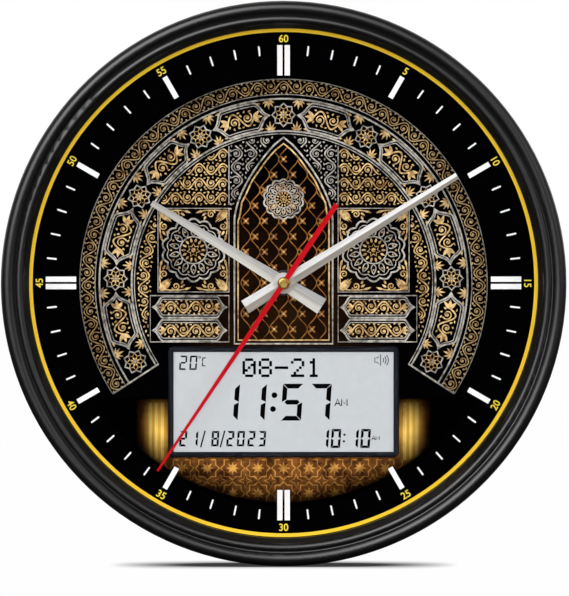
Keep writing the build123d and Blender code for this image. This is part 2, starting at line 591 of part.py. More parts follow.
# ---- Liquid crystal module ----
def lcd_bezel():
    """Frame around the window, with a bevelled face and a skirt that goes through the dial."""
    size = tuple(window + 2 * LCD_BAND for window in LCD_WINDOW)
    front = DIAL_DEPTH + LCD_FRAME_HEIGHT
    skirt_inner = tuple(glass + 2 * SLIP for glass in LCD_GLASS)
    skirt_outer = tuple(width + 2 * LCD_SKIRT for width in skirt_inner)
    with BuildPart() as frame:
        block(size, DIAL_DEPTH, front, LCD_SPOT, corner=LCD_FRAME_CORNER)
        block(LCD_WINDOW, DIAL_DEPTH, front, LCD_SPOT, mode=Mode.SUBTRACT)
        chamfer(frame.faces().sort_by(Axis.Y)[0].edges(), length=LCD_BEVEL)
        block(skirt_outer, DIAL_DEPTH - LCD_SKIRT_DEPTH, DIAL_DEPTH, LCD_SPOT)
        block(skirt_inner, DIAL_DEPTH - LCD_SKIRT_DEPTH, DIAL_DEPTH, LCD_SPOT, mode=Mode.SUBTRACT)
    return frame.part


def lcd_glass():
    """Two bonded panes: the rear one carries the contact ledges."""
    half = LCD_GLASS_THICKNESS / 2
    with BuildPart() as glass:
        block(LCD_GLASS, DIAL_DEPTH - LCD_GLASS_THICKNESS, DIAL_DEPTH - half, LCD_SPOT)
        block((LCD_GLASS[0], LCD_GLASS[1] - half), DIAL_DEPTH - half, DIAL_DEPTH, LCD_SPOT)
    return glass.part


def lcd_reflector():
    front = DIAL_DEPTH - LCD_GLASS_THICKNESS
    with BuildPart() as sheet:
        block((LCD_WINDOW[0], REFLECTOR_HEIGHT), front - REFLECTOR_THICKNESS, front, LCD_SPOT)
    return sheet.part


def zebra_strips():
    """Rubber connectors between the board and the two contact ledges of the glass."""
    offset_z = (LCD_GLASS[1] - ZEBRA_WIDTH) / 2 - SLIP
    with BuildPart() as strips:
        for end in (-1, 1):
            spot = (LCD_SPOT[0], LCD_SPOT[1] + end * offset_z)
            block((ZEBRA_LENGTH, ZEBRA_WIDTH), BOARD_FRONT, DIAL_DEPTH - LCD_GLASS_THICKNESS, spot)
    return strips.part


def lcd_housing():
    """Frame behind the dial that the skirt plugs into and the board is screwed to."""
    with BuildPart() as housing:
        block(HOUSING_SIZE, BOARD_FRONT, DIAL_BACK, LCD_SPOT, corner=BOARD_SCREW_INSET)
        block(LCD_CUTOUT, BOARD_FRONT, DIAL_BACK, LCD_SPOT, mode=Mode.SUBTRACT)
        for spot in BOARD_SCREW_SPOTS:
            pilot = BOARD_SCREW_RADIUS + SCREW_FIT
            disc(pilot, BOARD_FRONT, DIAL_BACK - BAY_WALL, spot, mode=Mode.SUBTRACT)
    return housing.part


def main_board():
    with BuildPart() as board:
        block(HOUSING_SIZE, BOARD_BACK, BOARD_FRONT, LCD_SPOT, corner=BOARD_SCREW_INSET)
        for spot in BOARD_SCREW_SPOTS:
            disc(BOARD_SCREW_RADIUS + SCREW_PASS, BOARD_BACK, BOARD_FRONT, spot, mode=Mode.SUBTRACT)
    return board.part


def board_spot(offset):
    """Spot on the board, from the module's centre."""
    return LCD_SPOT[0] + offset[0], LCD_SPOT[1] + offset[1]


def board_components():
    """Chips, crystal, capacitors and lead headers soldered to the back of the main board."""
    with BuildPart() as components:
        for size, height, offset in CHIPS:
            block(size, BOARD_BACK - height, BOARD_BACK, board_spot(offset))
        for radius, height, offset in CAPACITORS:
            disc(radius, BOARD_BACK - height, BOARD_BACK, board_spot(offset))
        for spot in (SPEAKER_HEADER, BATTERY_HEADER):
            block(HEADER_SIZE, BOARD_BACK - HEADER_THICKNESS, BOARD_BACK, spot)
    return components.part


def tact_switches():
    """One push switch on the board under each button."""
    face = BOARD_BACK - TACT_THICKNESS
    reach = FLOOR_DEPTH + SLIP + BUTTON_FLANGE_THICKNESS + BUTTON_TRAVEL + SLIP
    with BuildPart() as switches:
        for spot in BUTTON_SPOTS:
            block((TACT_SIZE, TACT_SIZE), face, BOARD_BACK, spot)
            disc(TACT_SIZE / 4, reach, face, spot)
    return switches.part


def button(spot):
    """Round cap that stands out of the rear floor, with a flange behind it that holds it in."""
    flange = FLOOR_DEPTH + SLIP
    with BuildPart() as cap:
        disc(BUTTON_RADIUS, RECESS_DEPTH - BUTTON_PROUD, flange, spot)
        fillet(cap.faces().sort_by(Axis.Y)[-1].edges(), radius=BUTTON_EDGE)
        disc(BUTTON_RADIUS + BUTTON_FLANGE, flange, flange + BUTTON_FLANGE_THICKNESS, spot)
    return cap.part


def slide_switch_body():
    """Switch shell on the board, open towards the back along the knob's path."""
    back = FLOOR_DEPTH + SLIP
    slot = (SWITCH_KNOB[0] + SWITCH_TRAVEL + 2 * SLIP, SWITCH_KNOB[1] + 2 * SLIP)
    with BuildPart() as shell:
        block(SWITCH_BODY, back, BOARD_BACK, SWITCH_SPOT)
        block(slot, back, BOARD_BACK - BOARD_THICKNESS, SWITCH_SPOT, mode=Mode.SUBTRACT)
    return shell.part


def slide_switch_knob():
    """Knob at the left end of its travel."""
    spot = (SWITCH_SPOT[0] - SWITCH_TRAVEL / 2, SWITCH_SPOT[1])
    with BuildPart() as knob:
        block(SWITCH_KNOB, RECESS_DEPTH - SWITCH_PROUD, BOARD_BACK - BOARD_THICKNESS - SLIP, spot)
        chamfer(knob.faces().sort_by(Axis.Y)[-1].edges(), length=SLIP)
    return knob.part


# ---- Speaker ----
def speaker_basket():
    """Pressed frame: a flange on the rear floor, a conical wall and the plate that carries the magnet."""
    base = FLOOR_DEPTH + SPEAKER_FLANGE
    plate = FLOOR_DEPTH + SPEAKER_DEPTH - MAGNET_THICKNESS
    wall = CONE_RADIUS + CONE_CLEARANCE
    with BuildPart() as basket:
        with BuildSketch(PROFILE):
            with BuildLine():
                Polyline(
                    (CONE_RADIUS - CONE_RIM, FLOOR_DEPTH),
                    (SPEAKER_RADIUS, FLOOR_DEPTH),
                    (SPEAKER_RADIUS, base),
                    (wall + SPEAKER_SHEET, base),
                    (MAGNET_RADIUS, plate),
                    (0, plate),
                    (0, plate - SPEAKER_SHEET),
                    (MAGNET_RADIUS - SPEAKER_SHEET, plate - SPEAKER_SHEET),
                    (wall, base),
                    (CONE_RADIUS - CONE_RIM, base),
                    close=True,
                )
            make_face()
        revolve(axis=Axis.Y)
        terminal_z = -(SPEAKER_RADIUS - TERMINAL_SIZE[1] / 2)
        block(TERMINAL_SIZE, base, base + TERMINAL_THICKNESS, (0, terminal_z))
    return moved_to(basket.part, SPEAKER_SPOT)


def speaker_cone():
    """Paper cone with its surround glued to the flange and a raised dust cap."""
    base = FLOOR_DEPTH + SPEAKER_FLANGE
    apex = base + CONE_DEPTH
    cap = apex - DUST_CAP_HEIGHT
    with BuildPart() as cone:
        with BuildSketch(PROFILE):
            with BuildLine():
                Polyline(
                    (0, cap),
                    (DUST_CAP_RADIUS / 2, cap),
                    (DUST_CAP_RADIUS, apex),
                    (CONE_RADIUS - CONE_RIM, base),
                    (CONE_RADIUS, base),
                    (CONE_RADIUS, base + CONE_SHEET),
                    (CONE_RADIUS - CONE_RIM, base + CONE_SHEET),
                    (DUST_CAP_RADIUS, apex + CONE_SHEET),
                    (DUST_CAP_RADIUS / 2, cap + CONE_SHEET),
                    (0, cap + CONE_SHEET),
                    close=True,
                )
            make_face()
        revolve(axis=Axis.Y)
    return moved_to(cone.part, SPEAKER_SPOT)


def speaker_magnet():
    rear = FLOOR_DEPTH + SPEAKER_DEPTH - MAGNET_THICKNESS
    with BuildPart() as magnet:
        disc(MAGNET_RADIUS, rear, rear + MAGNET_THICKNESS, SPEAKER_SPOT)
    return magnet.part


def moved_to(piece, spot):
    """The piece, made about the hands' axis, carried to its own spot."""
    return piece.moved(Location((spot[0], 0, spot[1])))


# ---- Batteries ----
def aa_battery(spot, upwards):
    """One AA cell that lies along Z with its nub at the top or the bottom."""
    way = 1 if upwards else -1
    length = BATTERY_LENGTH - BATTERY_NUB
    foot = Plane(origin=(spot[0], -BATTERY_DEPTH, spot[1]), x_dir=(1, 0, 0), z_dir=(0, 0, way))
    with BuildSketch(foot) as can:
        Circle(BATTERY_RADIUS)
    extrude(can.sketch, amount=length)
    with BuildSketch(foot.offset(length)) as nub:
        Circle(BATTERY_NUB_RADIUS)
    extrude(nub.sketch, amount=BATTERY_NUB)


def battery_end(upwards):
    """Height of a cell's flat end: the spring lies between it and the contact there."""
    end = BAY_LENGTH / 2 - CONTACT_THICKNESS - SPRING_LENGTH
    return BAY_SPOT[1] - end if upwards else BAY_SPOT[1] + end


def aa_batteries():
    with BuildPart() as cells:
        for number, offset_x in enumerate(BATTERY_OFFSETS):
            upwards = number % 2 == 0
            aa_battery((BAY_SPOT[0] + offset_x, battery_end(upwards)), upwards)
    return cells.part


def battery_contacts():
    """A flat plate at each end of each cell."""
    end = (BAY_LENGTH - CONTACT_THICKNESS) / 2
    half = CONTACT_SIZE / 2
    with BuildPart() as contacts:
        for offset_x in BATTERY_OFFSETS:
            for side in (-1, 1):
                spot = (BAY_SPOT[0] + offset_x, BAY_SPOT[1] + side * end)
                size = (CONTACT_SIZE, CONTACT_THICKNESS)
                block(size, BATTERY_DEPTH - half, BATTERY_DEPTH + half, spot)
    return contacts.part


def coil_spring(base, way, length, turns):
    """Compression spring from its base along an axis."""
    run = length - 2 * SPRING_WIRE
    start = base + way * SPRING_WIRE
    path = Edge.make_helix(run / turns, run, SPRING_RADIUS, center=start, normal=way)
    with BuildSketch(Plane(origin=path @ 0, z_dir=path % 0)) as section:
        Circle(SPRING_WIRE)
    sweep(section.sketch, path=path)


def battery_springs():
    """A spring behind the flat end of each cell."""
    with BuildPart() as springs:
        for number, offset_x in enumerate(BATTERY_OFFSETS):
            upwards = number % 2 == 0
            way = 1 if upwards else -1
            foot = battery_end(upwards) - way * SPRING_LENGTH
            base = Vector(BAY_SPOT[0] + offset_x, -BATTERY_DEPTH, foot)
            coil_spring(base, Vector(0, 0, way), SPRING_LENGTH, SPRING_TURNS)
    return springs.part


def battery_door():
    """Door with a rounded upper edge on two pins, a latch lip at the bottom and grip grooves."""
    size = (BAY_WIDTH - 2 * DOOR_GAP, BAY_LENGTH - 2 * DOOR_GAP)
    left = BAY_SPOT[0] - size[0] / 2
    half = DOOR_THICKNESS / 2
    with BuildPart() as door:
        block((size[0], size[1] - half), DOOR_REAR, DOOR_FRONT, (BAY_SPOT[0], BAY_SPOT[1] - half / 2))
        with BuildSketch(Plane.YZ.offset(left)) as edge:
            with Locations((-DOOR_HINGE[1], DOOR_HINGE[0])):
                Circle(half)
        extrude(edge.sketch, amount=size[0])
        with BuildSketch(Plane.YZ.offset(left - DOOR_PIN_LENGTH)) as pins:
            with Locations((-DOOR_HINGE[1], DOOR_HINGE[0])):
                Circle(DOOR_PIN_RADIUS)
        extrude(pins.sketch, amount=size[0] + 2 * DOOR_PIN_LENGTH)
        bottom = (BAY_SPOT[0], BAY_SPOT[1] - size[1] / 2)
        block((LATCH_WIDTH, 2 * LATCH_REACH), DOOR_REAR, DOOR_REAR + half, bottom)
        for number in range(DOOR_GROOVES):
            groove = (bottom[0], bottom[1] + (number + 2) * 2 * half)
            block((LATCH_WIDTH, half), DOOR_REAR, DOOR_REAR + GROOVE_DEPTH, groove, mode=Mode.SUBTRACT)
    return door.part


# ---- Leads ----
def lead(start, end):
    """Twin lead sheath from a header up to its end: straight runs joined by arcs, at one depth."""
    rise = (end[1] - start[1]) * LEAD_RISE
    points = [start, (start[0], start[1] + rise), (end[0], end[1] - rise), end]
    depth = BOARD_BACK - HEADER_THICKNESS / 2
    places = [Vector(x, -depth, z) for x, z in points]
    runs = [b - a for a, b in zip(places, places[1:])]
    radii = []
    for before, after in zip(runs, runs[1:]):
        turn = radians(before.get_angle(after))
        radii.append(LEAD_BEND * min(before.length, after.length) / tan(turn / 2))
    print("lead bend radii", [round(radius, 1) for radius in radii])
    with BuildPart() as sheath:
        with BuildLine() as path:
            FilletPolyline(*places, radius=radii)
        with BuildSketch(Plane(origin=path.line @ 0, z_dir=path.line % 0)):
            Circle(LEAD_DIAMETER / 2)
        sweep(path=path.line)
    length = sum(edge.length for edge in path.edges())
    section = pi * LEAD_DIAMETER**2 / 4
    print("lead volume over section times length", round(sheath.part.volume / section / length, 4))
    return sheath.part


def speaker_lead():
    """From the header on the board to the speaker's terminal."""
    start = (SPEAKER_HEADER[0], SPEAKER_HEADER[1] + HEADER_SIZE[1] / 2)
    return lead(start, (SPEAKER_SPOT[0], SPEAKER_SPOT[1] - SPEAKER_RADIUS))


def battery_lead():
    """From the header on the board to the wall of the battery bay."""
    start = (BATTERY_HEADER[0], BATTERY_HEADER[1] + HEADER_SIZE[1] / 2)
    return lead(start, (BAY_SPOT[0] - BAY_WIDTH / 4, BAY_SPOT[1] - BAY_LENGTH / 2 - BAY_WALL))


# ---- Quartz movement ----
def movement_front_case():
    """Box that opens backwards, with the threaded neck and the posts of the middle plate."""
    inner = tuple(2 * half for half in MOVEMENT_INNER)
    rear = MOVEMENT_THICKNESS - MOVEMENT_WALL
    with BuildPart() as case:
        block(MOVEMENT_SIZE, level(rear), level(0), corner=MOVEMENT_CORNER)
        corner = MOVEMENT_CORNER - MOVEMENT_WALL
        block(inner, level(rear), level(MOVEMENT_WALL), corner=corner, mode=Mode.SUBTRACT)
        disc(NECK_RADIUS, level(0), level(-NECK_LENGTH))
        disc(HOUR_TUBE_RADIUS + RUNNING_FIT, level(MOVEMENT_WALL), level(-NECK_LENGTH), mode=Mode.SUBTRACT)
        for spot in POST_SPOTS:
            disc(POST_RADIUS, level(PLATE_LEVEL), level(MOVEMENT_WALL), spot)
        pivot = PIVOT_RADIUS + RUNNING_FIT
        disc(pivot, level(MOVEMENT_WALL), level(MOVEMENT_WALL / 2), MOTION_SPOT, mode=Mode.SUBTRACT)
    return case.part


def movement_middle_plate():
    """Plate on the posts that carries the front pivots of the train."""
    back, front = level(PLATE_LEVEL + PLATE_THICKNESS), level(PLATE_LEVEL)
    size = (2 * PLATE_HALF, PLATE_ENDS[1] - PLATE_ENDS[0])
    with BuildPart() as plate:
        block(size, back, front, (0, sum(PLATE_ENDS) / 2), corner=POST_RADIUS)
        disc(CANNON_RADIUS + RUNNING_FIT, back, front, mode=Mode.SUBTRACT)
        disc(SETTING_ARBOR_RADIUS + RUNNING_FIT, back, front, MOTION_SPOT, mode=Mode.SUBTRACT)
        for spot in (THIRD_SPOT, STEP_SPOT, ROTOR_SPOT):
            disc(PIVOT_RADIUS + RUNNING_FIT, back, front, spot, mode=Mode.SUBTRACT)
    return plate.part


def movement_rear_case():
    """Cover with the pivot bosses, the posts of the stator and circuit, and the open battery bay."""
    cover = MOVEMENT_THICKNESS - MOVEMENT_WALL
    bay_top = BAY_PARTITION - MOVEMENT_WALL
    bay = (2 * MOVEMENT_INNER[0], MOVEMENT_INNER[1] + bay_top)
    bay_spot = (0, (bay_top - MOVEMENT_INNER[1]) / 2)
    with BuildPart() as case:
        block(MOVEMENT_SIZE, level(MOVEMENT_THICKNESS), level(cover), corner=MOVEMENT_CORNER)
        block(bay, level(MOVEMENT_THICKNESS), level(cover), bay_spot, mode=Mode.SUBTRACT)
        partition = (2 * (MOVEMENT_INNER[0] - SLIP), MOVEMENT_WALL)
        block(partition, level(cover), level(MOVEMENT_WALL + SLIP), (0, BAY_PARTITION - MOVEMENT_WALL / 2))
        for spot in ((0, 0), THIRD_SPOT, STEP_SPOT, ROTOR_SPOT):
            disc(POST_RADIUS, level(cover), level(BOSS_LEVEL), spot)
            disc(PIVOT_RADIUS + RUNNING_FIT, level(cover), level(BOSS_LEVEL), spot, mode=Mode.SUBTRACT)
        arbor = SETTING_ARBOR_RADIUS + RUNNING_FIT
        disc(arbor, level(MOVEMENT_THICKNESS), level(cover), MOTION_SPOT, mode=Mode.SUBTRACT)
        stator_back = STATOR_LEVEL + STATOR_THICKNESS
        for spot in stator_posts():
            disc(STATOR_LEG / 2, level(cover), level(stator_back), spot)
        for side in (-1, 1):
            spot = (CIRCUIT_SPOT[0] + side * CIRCUIT_SIZE[0] / 3, CIRCUIT_SPOT[1])
            disc(POST_RADIUS, level(cover), level(stator_back), spot)
    return case.part


def stator_posts():
    """Spots on the two legs and the base of the stator."""
    left = ROTOR_SPOT[0] - STATOR_HOLE_RADIUS - STATOR_LEG
    return (
        (STATOR_RIGHT - STATOR_LEG / 2, STATOR_BRIDGE),
        (left + STATOR_LEG / 2 + SLIP, STATOR_BRIDGE),
        (STATOR_LEFT + STATOR_LEG / 2, STATOR_BRIDGE),
    )


def movement_nut():
    """Round brass nut with two wrench slots, on the neck in front of the dial."""
    back = DIAL_DEPTH + WASHER_THICKNESS
    front = back + NUT_THICKNESS
    with BuildPart() as nut:
        ring(NUT_RADIUS, NECK_RADIUS + PRESS_GAP, back, front)
        chamfer(nut.faces().sort_by(Axis.Y)[0].edges().sort_by(SortBy.RADIUS)[-1], length=SLIP)
        for side in (-1, 1):
            block(NUT_SLOT, back + NUT_THICKNESS / 2, front, (side * NUT_RADIUS, 0), mode=Mode.SUBTRACT)
    return nut.part


def movement_washer():
    with BuildPart() as washer:
        ring(WASHER_RADIUS, NECK_RADIUS + PRESS_GAP, DIAL_DEPTH, DIAL_DEPTH + WASHER_THICKNESS)
    return washer.part


def stator():
    """Flat iron circuit: a base around the rotor and two legs that reach the coil's core."""
    back, front = level(STATOR_LEVEL + STATOR_THICKNESS), level(STATOR_LEVEL)
    left = ROTOR_SPOT[0] - STATOR_HOLE_RADIUS - STATOR_LEG
    bottom = ROTOR_SPOT[1] - STATOR_HOLE_RADIUS - STATOR_LEG
    base_top = ROTOR_SPOT[1] + STATOR_HOLE_RADIUS + STATOR_LEG
    with BuildPart() as iron:
        span(left, STATOR_RIGHT, bottom, base_top, back, front)
        span(STATOR_RIGHT - STATOR_LEG, STATOR_RIGHT, bottom, STATOR_TOP, back, front)
        span(left, left + STATOR_LEG, bottom, STATOR_BRIDGE + STATOR_LEG / 2, back, front)
        low, high = STATOR_BRIDGE - STATOR_LEG / 2, STATOR_BRIDGE + STATOR_LEG / 2
        span(STATOR_LEFT, left + STATOR_LEG, low, high, back, front)
        span(STATOR_LEFT, STATOR_LEFT + STATOR_LEG, low, STATOR_TOP, back, front)
        disc(STATOR_HOLE_RADIUS, back, front, ROTOR_SPOT, mode=Mode.SUBTRACT)
    return iron.part


def span(left, right, bottom, top, back, front):
    """Rectangular plate between two limits each way."""
    block((right - left, top - bottom), back, front, ((left + right) / 2, (bottom + top) / 2))


def coil_bobbin():
    """Iron core and plastic flanges as one bonded piece, lying on the ends of the stator."""
    back, front = level(STATOR_LEVEL), level(STATOR_LEVEL - COIL_CORE_THICKNESS)
    with BuildPart() as bobbin:
        block(COIL_CORE, back, front, COIL_SPOT)
        for side in (-1, 1):
            middle = COIL_SPOT[0] + side * (COIL_LENGTH + COIL_FLANGE) / 2
            with BuildSketch(Plane.YZ.offset(middle - COIL_FLANGE / 2)) as flange:
                with Locations((-(back + front) / 2, COIL_SPOT[1])):
                    Circle(COIL_FLANGE_RADIUS)
            extrude(flange.sketch, amount=COIL_FLANGE)
    return bobbin.part


def coil_winding():
    """Copper winding around the core, between the flanges."""
    back, front = level(STATOR_LEVEL), level(STATOR_LEVEL - COIL_CORE_THICKNESS)
    with BuildPart() as winding:
        with BuildSketch(Plane.YZ.offset(COIL_SPOT[0] - COIL_LENGTH / 2)) as outline:
            with Locations((-(back + front) / 2, COIL_SPOT[1])):
                Circle(COIL_RADIUS)
                Rectangle(COIL_CORE_THICKNESS, COIL_CORE[1], mode=Mode.SUBTRACT)
        extrude(outline.sketch, amount=COIL_LENGTH)
    return winding.part


def movement_circuit():
    """Small board with the moulded chip and the quartz crystal."""
    front = level(STATOR_LEVEL)
    with BuildPart() as circuit:
        block(CIRCUIT_SIZE, front - CIRCUIT_THICKNESS, front, CIRCUIT_SPOT)
        quarter = CIRCUIT_SIZE[0] / 4
        chip = shifted(CIRCUIT_SPOT, quarter, 180)
        disc(CIRCUIT_HEIGHT / 4, front, front + CIRCUIT_THICKNESS, chip)
        crystal = shifted(CIRCUIT_SPOT, quarter, 0)
        block((quarter, CIRCUIT_HEIGHT / 5), front, front + 2 * CIRCUIT_THICKNESS, crystal)
    return circuit.part


def movement_bay_places():
    """Depth and height of the movement's own cell, and the inner faces of its bay."""
    height = (BAY_PARTITION - MOVEMENT_WALL - MOVEMENT_INNER[1]) / 2
    return level(MOVEMENT_WALL + SLIP + BATTERY_RADIUS), height, MOVEMENT_INNER[0]


def movement_battery():
    """AA cell across the movement, with its nub at the right."""
    depth, height, inner = movement_bay_places()
    left = inner - CONTACT_THICKNESS - BATTERY_LENGTH
    with BuildPart() as cell:
        foot = Plane(origin=(left, -depth, height), x_dir=(0, 0, 1), z_dir=(1, 0, 0))
        with BuildSketch(foot):
            Circle(BATTERY_RADIUS)
        extrude(amount=BATTERY_LENGTH - BATTERY_NUB)
        with BuildSketch(foot.offset(BATTERY_LENGTH - BATTERY_NUB)):
            Circle(BATTERY_NUB_RADIUS)
        extrude(amount=BATTERY_NUB)
    return cell.part


def movement_contacts():
    """Contact plates at the ends of the movement's bay, the left one with a spring."""
    depth, height, inner = movement_bay_places()
    half = CONTACT_SIZE / 2
    with BuildPart() as contacts:
        for side in (-1, 1):
            spot = (side * (inner - CONTACT_THICKNESS / 2), height)
            block((CONTACT_THICKNESS, CONTACT_SIZE), depth - half, depth + half, spot)
        base = Vector(-inner + CONTACT_THICKNESS / 2, -depth, height)
        length = 2 * inner - 1.5 * CONTACT_THICKNESS - BATTERY_LENGTH
        coil_spring(base, Vector(1, 0, 0), length, SPRING_TURNS / 2)
    return contacts.part


# ---- Wheels ----
def toothed(teeth, gear_module, distance, facing, spot, tooth_first):
    """Adds a wheel that meshes towards an angle, with a tooth or a gap on the line of centres."""
    pitch = 360 / teeth
    radii = [teeth / 2 - DEDENDUM, teeth / 2, teeth / 2 + ADDENDUM]
    shares = [TOOTH_ROOT, TOOTH_PITCH, TOOTH_TIP]
    flank = [(radius * gear_module, share / 2) for radius, share in zip(radii, shares)]
    turn = facing if tooth_first else facing + pitch / 2
    points = []
    for middle in (number * pitch for number in range(teeth)):
        points += [polar(radius, middle - share * pitch) for radius, share in flank]
        points += [polar(radius, middle + share * pitch) for radius, share in reversed(flank)]
    with BuildSketch(layer(level(distance + WHEEL_THICKNESS), spot, turn)) as outline:
        with BuildLine():
            Polyline(*points, close=True)
        make_face()
    extrude(outline.sketch, amount=WHEEL_THICKNESS)


def pair_module(distance, teeth, leaves):
    return 2 * distance / (teeth + leaves)


MOTION_MODULE = pair_module(MOTION_DISTANCE, MOTION_TEETH, CANNON_TEETH)
HOUR_MODULE = pair_module(MOTION_DISTANCE, HOUR_TEETH, MOTION_LEAVES)
MINUTE_MODULE = pair_module(THIRD_DISTANCE, MINUTE_TEETH, THIRD_LEAVES)
THIRD_MODULE = pair_module(THIRD_DISTANCE, THIRD_TEETH, SECOND_LEAVES)
SECOND_MODULE = pair_module(STEP_DISTANCE, SECOND_TEETH, STEP_LEAVES)
STEP_MODULE = pair_module(ROTOR_DISTANCE, STEP_TEETH, ROTOR_LEAVES)


def pivoted_arbor(spot):
    """Arbor between the middle plate and its boss, with a thin pivot at each end."""
    plate_back = PLATE_LEVEL + PLATE_THICKNESS
    disc(ARBOR_RADIUS, level(BOSS_LEVEL - SLIP), level(plate_back + SLIP), spot)
    disc(PIVOT_RADIUS, level(BOSS_LEVEL + PIVOT_DEPTH), level(PLATE_LEVEL), spot)


def second_wheel():
    """Long arbor that carries the second hand, with its wheel and pinion."""
    with BuildPart() as wheel:
        disc(SECOND_ARBOR_RADIUS, level(BOSS_LEVEL - SLIP), SECOND_HAND_DEPTH + SECOND_SHEET + CAP_HEIGHT / 2)
        disc(PIVOT_RADIUS, level(BOSS_LEVEL + PIVOT_DEPTH), level(BOSS_LEVEL - SLIP))
        toothed(SECOND_LEAVES, THIRD_MODULE, THIRD_LEVEL, THIRD_ANGLE, (0, 0), False)
        toothed(SECOND_TEETH, SECOND_MODULE, SECOND_LEVEL, STEP_ANGLE, (0, 0), True)
    return wheel.part


def third_wheel():
    with BuildPart() as wheel:
        pivoted_arbor(THIRD_SPOT)
        toothed(THIRD_LEAVES, MINUTE_MODULE, MINUTE_LEVEL, THIRD_ANGLE + 180, THIRD_SPOT, False)
        toothed(THIRD_TEETH, THIRD_MODULE, THIRD_LEVEL, THIRD_ANGLE + 180, THIRD_SPOT, True)
    return wheel.part


def minute_wheel():
    """Centre wheel with the cannon tube and the cannon pinion."""
    with BuildPart() as wheel:
        front = MINUTE_HAND_DEPTH + HUB_THICKNESS + TUBE_PROUD
        disc(CANNON_RADIUS, level(MINUTE_LEVEL + WHEEL_THICKNESS), front)
        toothed(MINUTE_TEETH, MINUTE_MODULE, MINUTE_LEVEL, THIRD_ANGLE, (0, 0), True)
        toothed(CANNON_TEETH, MOTION_MODULE, CANNON_LEVEL, MOTION_ANGLE, (0, 0), False)
        bore = SECOND_ARBOR_RADIUS + RUNNING_FIT
        disc(bore, level(MOVEMENT_THICKNESS), SECOND_HAND_DEPTH, mode=Mode.SUBTRACT)
    return wheel.part


def motion_wheel():
    """Wheel and pinion between the cannon pinion and the hour wheel, on the setting arbor."""
    with BuildPart() as wheel:
        disc(SETTING_ARBOR_RADIUS, KNOB_REAR + KNOB_GAP, level(CANNON_LEVEL), MOTION_SPOT)
        disc(PIVOT_RADIUS, level(CANNON_LEVEL), level(MOVEMENT_WALL / 2 + SLIP), MOTION_SPOT)
        toothed(MOTION_LEAVES, HOUR_MODULE, HOUR_LEVEL, MOTION_ANGLE + 180, MOTION_SPOT, False)
        toothed(MOTION_TEETH, MOTION_MODULE, CANNON_LEVEL, MOTION_ANGLE + 180, MOTION_SPOT, True)
        disc(ARBOR_RADIUS, level(CANNON_LEVEL), level(HOUR_LEVEL), MOTION_SPOT)
    return wheel.part


def hour_wheel():
    """Wheel with the tube that carries the hour hand through the neck."""
    with BuildPart() as wheel:
        toothed(HOUR_TEETH, HOUR_MODULE, HOUR_LEVEL, MOTION_ANGLE, (0, 0), True)
        disc(HOUR_TUBE_RADIUS, level(HOUR_LEVEL), HOUR_HAND_DEPTH + HUB_THICKNESS + TUBE_PROUD)
        bore = CANNON_RADIUS + RUNNING_FIT
        disc(bore, level(CANNON_LEVEL), MINUTE_HAND_DEPTH, mode=Mode.SUBTRACT)
    return wheel.part


def step_wheel():
    with BuildPart() as wheel:
        pivoted_arbor(STEP_SPOT)
        toothed(STEP_LEAVES, SECOND_MODULE, SECOND_LEVEL, STEP_ANGLE + 180, STEP_SPOT, False)
        toothed(STEP_TEETH, STEP_MODULE, STEP_LEVEL, ROTOR_ANGLE, STEP_SPOT, True)
    return wheel.part


def rotor():
    """Pinion and disc magnet that turn in the stator."""
    middle = STATOR_LEVEL + STATOR_THICKNESS / 2
    half = ROTOR_MAGNET_THICKNESS / 2
    with BuildPart() as wheel:
        pivoted_arbor(ROTOR_SPOT)
        toothed(ROTOR_LEAVES, STEP_MODULE, STEP_LEVEL, ROTOR_ANGLE + 180, ROTOR_SPOT, False)
        disc(ROTOR_MAGNET_RADIUS, level(middle + half), level(middle - half), ROTOR_SPOT)
    return wheel.part


def setting_knob():
    """Fluted knob on the setting arbor, behind the movement."""
    front = level(MOVEMENT_THICKNESS) - KNOB_GAP
    with BuildPart() as knob:
        disc(KNOB_RADIUS, KNOB_REAR, front, MOTION_SPOT)
        for number in range(KNOB_FLUTES):
            spot = shifted(MOTION_SPOT, KNOB_RADIUS, number * 360 / KNOB_FLUTES)
            disc(KNOB_GAP / 2, KNOB_REAR, front, spot, mode=Mode.SUBTRACT)
        disc(SETTING_ARBOR_RADIUS + PRESS_GAP, KNOB_REAR + KNOB_GAP, front, MOTION_SPOT, mode=Mode.SUBTRACT)
    return knob.part


# ---- Hands ----
def hand_section(angle, distance, depth):
    """Plane across a hand: local x runs across it and local y forwards."""
    a = radians(angle)
    origin = (distance * sin(a), -depth, distance * cos(a))
    return Plane(origin=origin, x_dir=(-cos(a), 0, sin(a)), z_dir=(sin(a), 0, cos(a)))


def ridge(width):
    """Cross-section with two facets that meet in a lengthwise crease."""
    half = width / 2
    return [(-half, 0), (half, 0), (half, HAND_EDGE), (0, HAND_RIDGE), (-half, HAND_EDGE)]


def creased_hand(angle, tip, tail, widths, depth, hub, bore):
    """Pressed metal hand that narrows from hub to tip and widens towards the tail."""
    with BuildPart() as hand:
        for near, far in (((-tail, widths[0]), (0, widths[1])), ((0, widths[1]), (tip, widths[2]))):
            for distance, width in (near, far):
                with BuildSketch(hand_section(angle, distance, depth)):
                    with BuildLine():
                        Polyline(*ridge(width), close=True)
                    make_face()
            loft(ruled=True)
        disc(hub, depth, depth + HUB_THICKNESS)
        disc(bore + PRESS_GAP, depth, depth + HUB_THICKNESS, mode=Mode.SUBTRACT)
    return hand.part


def hour_hand():
    place = (HOUR_ANGLE, HOUR_TIP, HOUR_TAIL, HOUR_WIDTHS, HOUR_HAND_DEPTH)
    return creased_hand(*place, HOUR_HUB_RADIUS, HOUR_TUBE_RADIUS)


def minute_hand():
    place = (MINUTE_ANGLE, MINUTE_TIP, MINUTE_TAIL, MINUTE_WIDTHS, MINUTE_HAND_DEPTH)
    return creased_hand(*place, MINUTE_HUB_RADIUS, CANNON_RADIUS)


